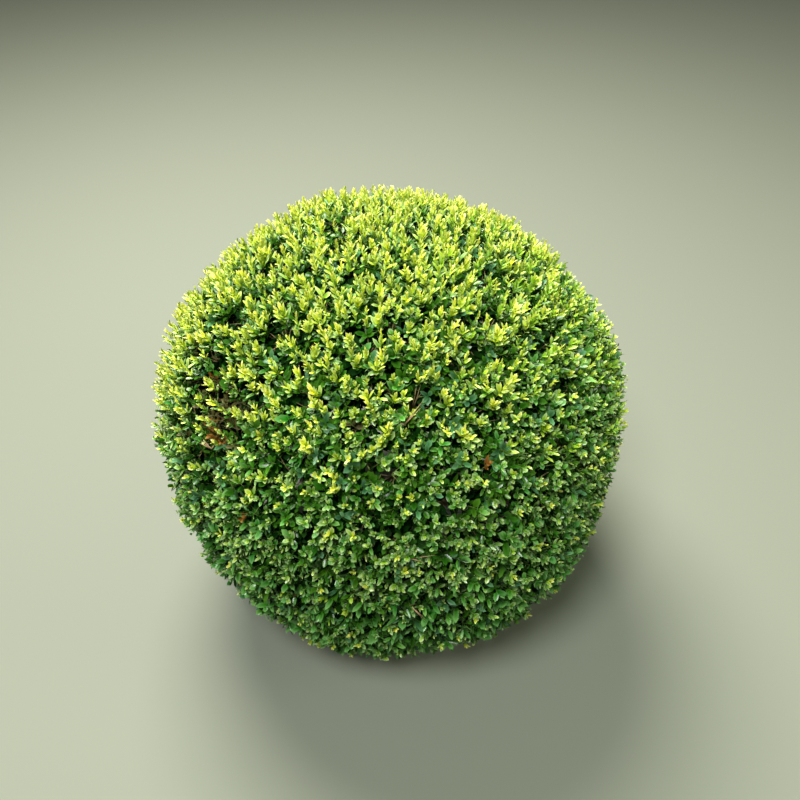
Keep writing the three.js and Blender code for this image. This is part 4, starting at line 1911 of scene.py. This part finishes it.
    def build(self) -> None:
        """Joins the leaves of each kind into pieces and dresses them."""
        faces = self.shape.faces()
        for kind, batches in self.blades.items():
            blades = np.concatenate(batches)
            order = np.argsort(blades[:, 0, 0])
            tones = np.clip(np.concatenate(self.tones[kind]), -1, 1)[order]
            material = kind.value.material()
            parts = math.ceil(len(blades) / MOST_LEAVES_IN_A_PIECE)
            for number, part in enumerate(np.array_split(order, parts)):
                count, corners = len(part), self.shape.corners().shape[0]
                starts = np.arange(count)[:, None, None] * corners
                margin_and_highlight = np.tile(self.shape.paleness, count)
                tone = np.repeat(tones[:count], corners)
                tones = tones[count:]
                piece = mesh_piece(
                    f"leaves_{kind.name.lower()}_{number + 1}",
                    blades[part].reshape(-1, 3),
                    (faces[None] + starts).reshape(-1, 3),
                    {"margin_and_highlight": margin_and_highlight, "tone": tone},
                )
                hand_over(piece, material, kind.value.slot, "foliage")


def put_up(
    name: str,
    data: bpy.types.Light | bpy.types.Camera,
    place: tuple[float, float, float],
    target: tuple[float, float, float],
) -> bpy.types.Object:
    """Puts up a lamp or a camera.

    Args:
        name: Its name.
        data: The lamp or camera itself.
        place: Where it is.
        target: What it points at.

    Returns:
        The new object.
    """
    holder = bpy.data.objects.new(name, data)
    holder.location = place
    aim = Vector(target) - Vector(place)
    holder.rotation_euler = aim.to_track_quat("-Z", "Y").to_euler()
    bpy.context.scene.collection.objects.link(holder)
    return holder


@dataclass(frozen=True)
class SoftLight:
    """A large soft lamp: where it hangs, what it faces, its size, power and colour."""

    name: str
    place: tuple[float, float, float]
    target: tuple[float, float, float]
    size: float
    power: float
    colour: str

    def build(self) -> None:
        """Hangs the lamp."""
        lamp = bpy.data.lights.new(self.name, "AREA")
        lamp.shape = "DISK"
        lamp.size = self.size
        lamp.energy = self.power
        lamp.color = linear(self.colour)[:3]
        put_up(self.name, lamp, self.place, self.target)


@dataclass
class Studio:
    """The pale floor, the soft light and the camera at the photograph's viewing angle."""

    camera_place: tuple[float, float, float] = (0.0, -1.1586, 1.5492)
    camera_target: tuple[float, float, float] = (0.0166, -0.0152, 0.4889)
    lens: float = 35.35
    sensor: float = 36.0
    floor_size: float = 16.0
    floor_colour: str = "#7A7F72"
    sky_colour: str = "#DEF0C8"
    sky_strength: float = 0.14
    lights: tuple[SoftLight, ...] = (
        SoftLight("key", (-0.8, 1.5, 3.7), (0.0, 0.0, 0.5), 2.0, 350.0, "#FFFBF2"),
        SoftLight("fill", (-0.8, -1.8, 4.0), (0.0, 0.0, 0.40), 1.2, 180.0, "#FAFBF8"),
        SoftLight("side", (2.8, -0.8, 1.7), (0.2, 0.0, 0.45), 1.4, 34.0, "#FAFCE6"),
    )

    def build_floor(self) -> None:
        """Lays the plain pale floor."""
        bpy.ops.object.select_all(action="DESELECT")
        bpy.ops.mesh.primitive_plane_add(size=self.floor_size, location=(0, 0, 0))
        floor = bpy.context.object
        floor.name = "floor"
        material, tree = new_material("matt pale floor")
        shader = add_node(
            tree,
            "ShaderNodeBsdfPrincipled",
            {"Base Color": linear(self.floor_colour), "Roughness": 0.95},
            {},
        )
        add_node(tree, "ShaderNodeOutputMaterial", {}, {"Surface": shader.outputs["BSDF"]})
        floor.data.materials.append(material)
        # It takes the plant's shadow but throws no light back, so the gaps between the leaves stay dark.
        floor.visible_diffuse = False

    def build_sky(self) -> None:
        """Sets the even light from all round."""
        world = bpy.data.worlds.new("soft surround")
        world.use_nodes = True
        tree = world.node_tree
        tree.nodes.clear()
        surround = add_node(
            tree,
            "ShaderNodeBackground",
            {"Color": linear(self.sky_colour), "Strength": self.sky_strength},
            {},
        )
        add_node(tree, "ShaderNodeOutputWorld", {}, {"Surface": surround.outputs["Background"]})
        bpy.context.scene.world = world

    def build_camera(self) -> None:
        """Sets up the camera."""
        lens = bpy.data.cameras.new("camera")
        lens.lens = self.lens
        lens.sensor_width = self.sensor
        lens.clip_end = 60.0
        bpy.context.scene.camera = put_up("camera", lens, self.camera_place, self.camera_target)

    def build(self) -> None:
        """Builds the whole studio."""
        self.build_floor()
        self.build_sky()
        self.build_camera()
        for light in self.lights:
            light.build()
        bpy.context.scene.view_settings.view_transform = "Standard"


def main() -> None:
    """Grows the plant from the ground up, then sets up the studio round it."""
    logging.basicConfig(level=logging.INFO, format="%(name)s %(message)s")
    plan = LimbPlan(ClippedOutline())
    outline = ClippedOutline(swellings=FULLER_PLACES)
    Stem(plan).build()
    boughs = Boughs(plan)
    boughs.build()
    twigwork = Twigwork(outline)
    places = twigwork.build(*boughs.forks_at())
    shoot_plan = ShootPlan(outline)
    crops = {
        "new_shoots": shoot_plan.tufts(),
        "grown_shoots": shoot_plan.sprays(),
        "deep_shoots": shoot_plan.deep(),
    }
    shootwork = Shootwork(outline)
    leaves = Leaves(outline)
    for name, shoots in crops.items():
        shootwork.build(twigwork, name, shoots, places)
        leaves.add_shoots(shoots)
    dry_finish = TwigFinish("dry box twig, tan", "#C4A47A", "#8A6A48")
    dry_twigwork = Shootwork(outline, root_radius=0.0014, tip_radius=0.0009, sides=5, finish=dry_finish)
    dry_twigwork.build(twigwork, "dry_twigs", shoot_plan.dry_twigs(), places)
    leaves.build()
    Studio().build()


if __name__ == "__main__":
    main()
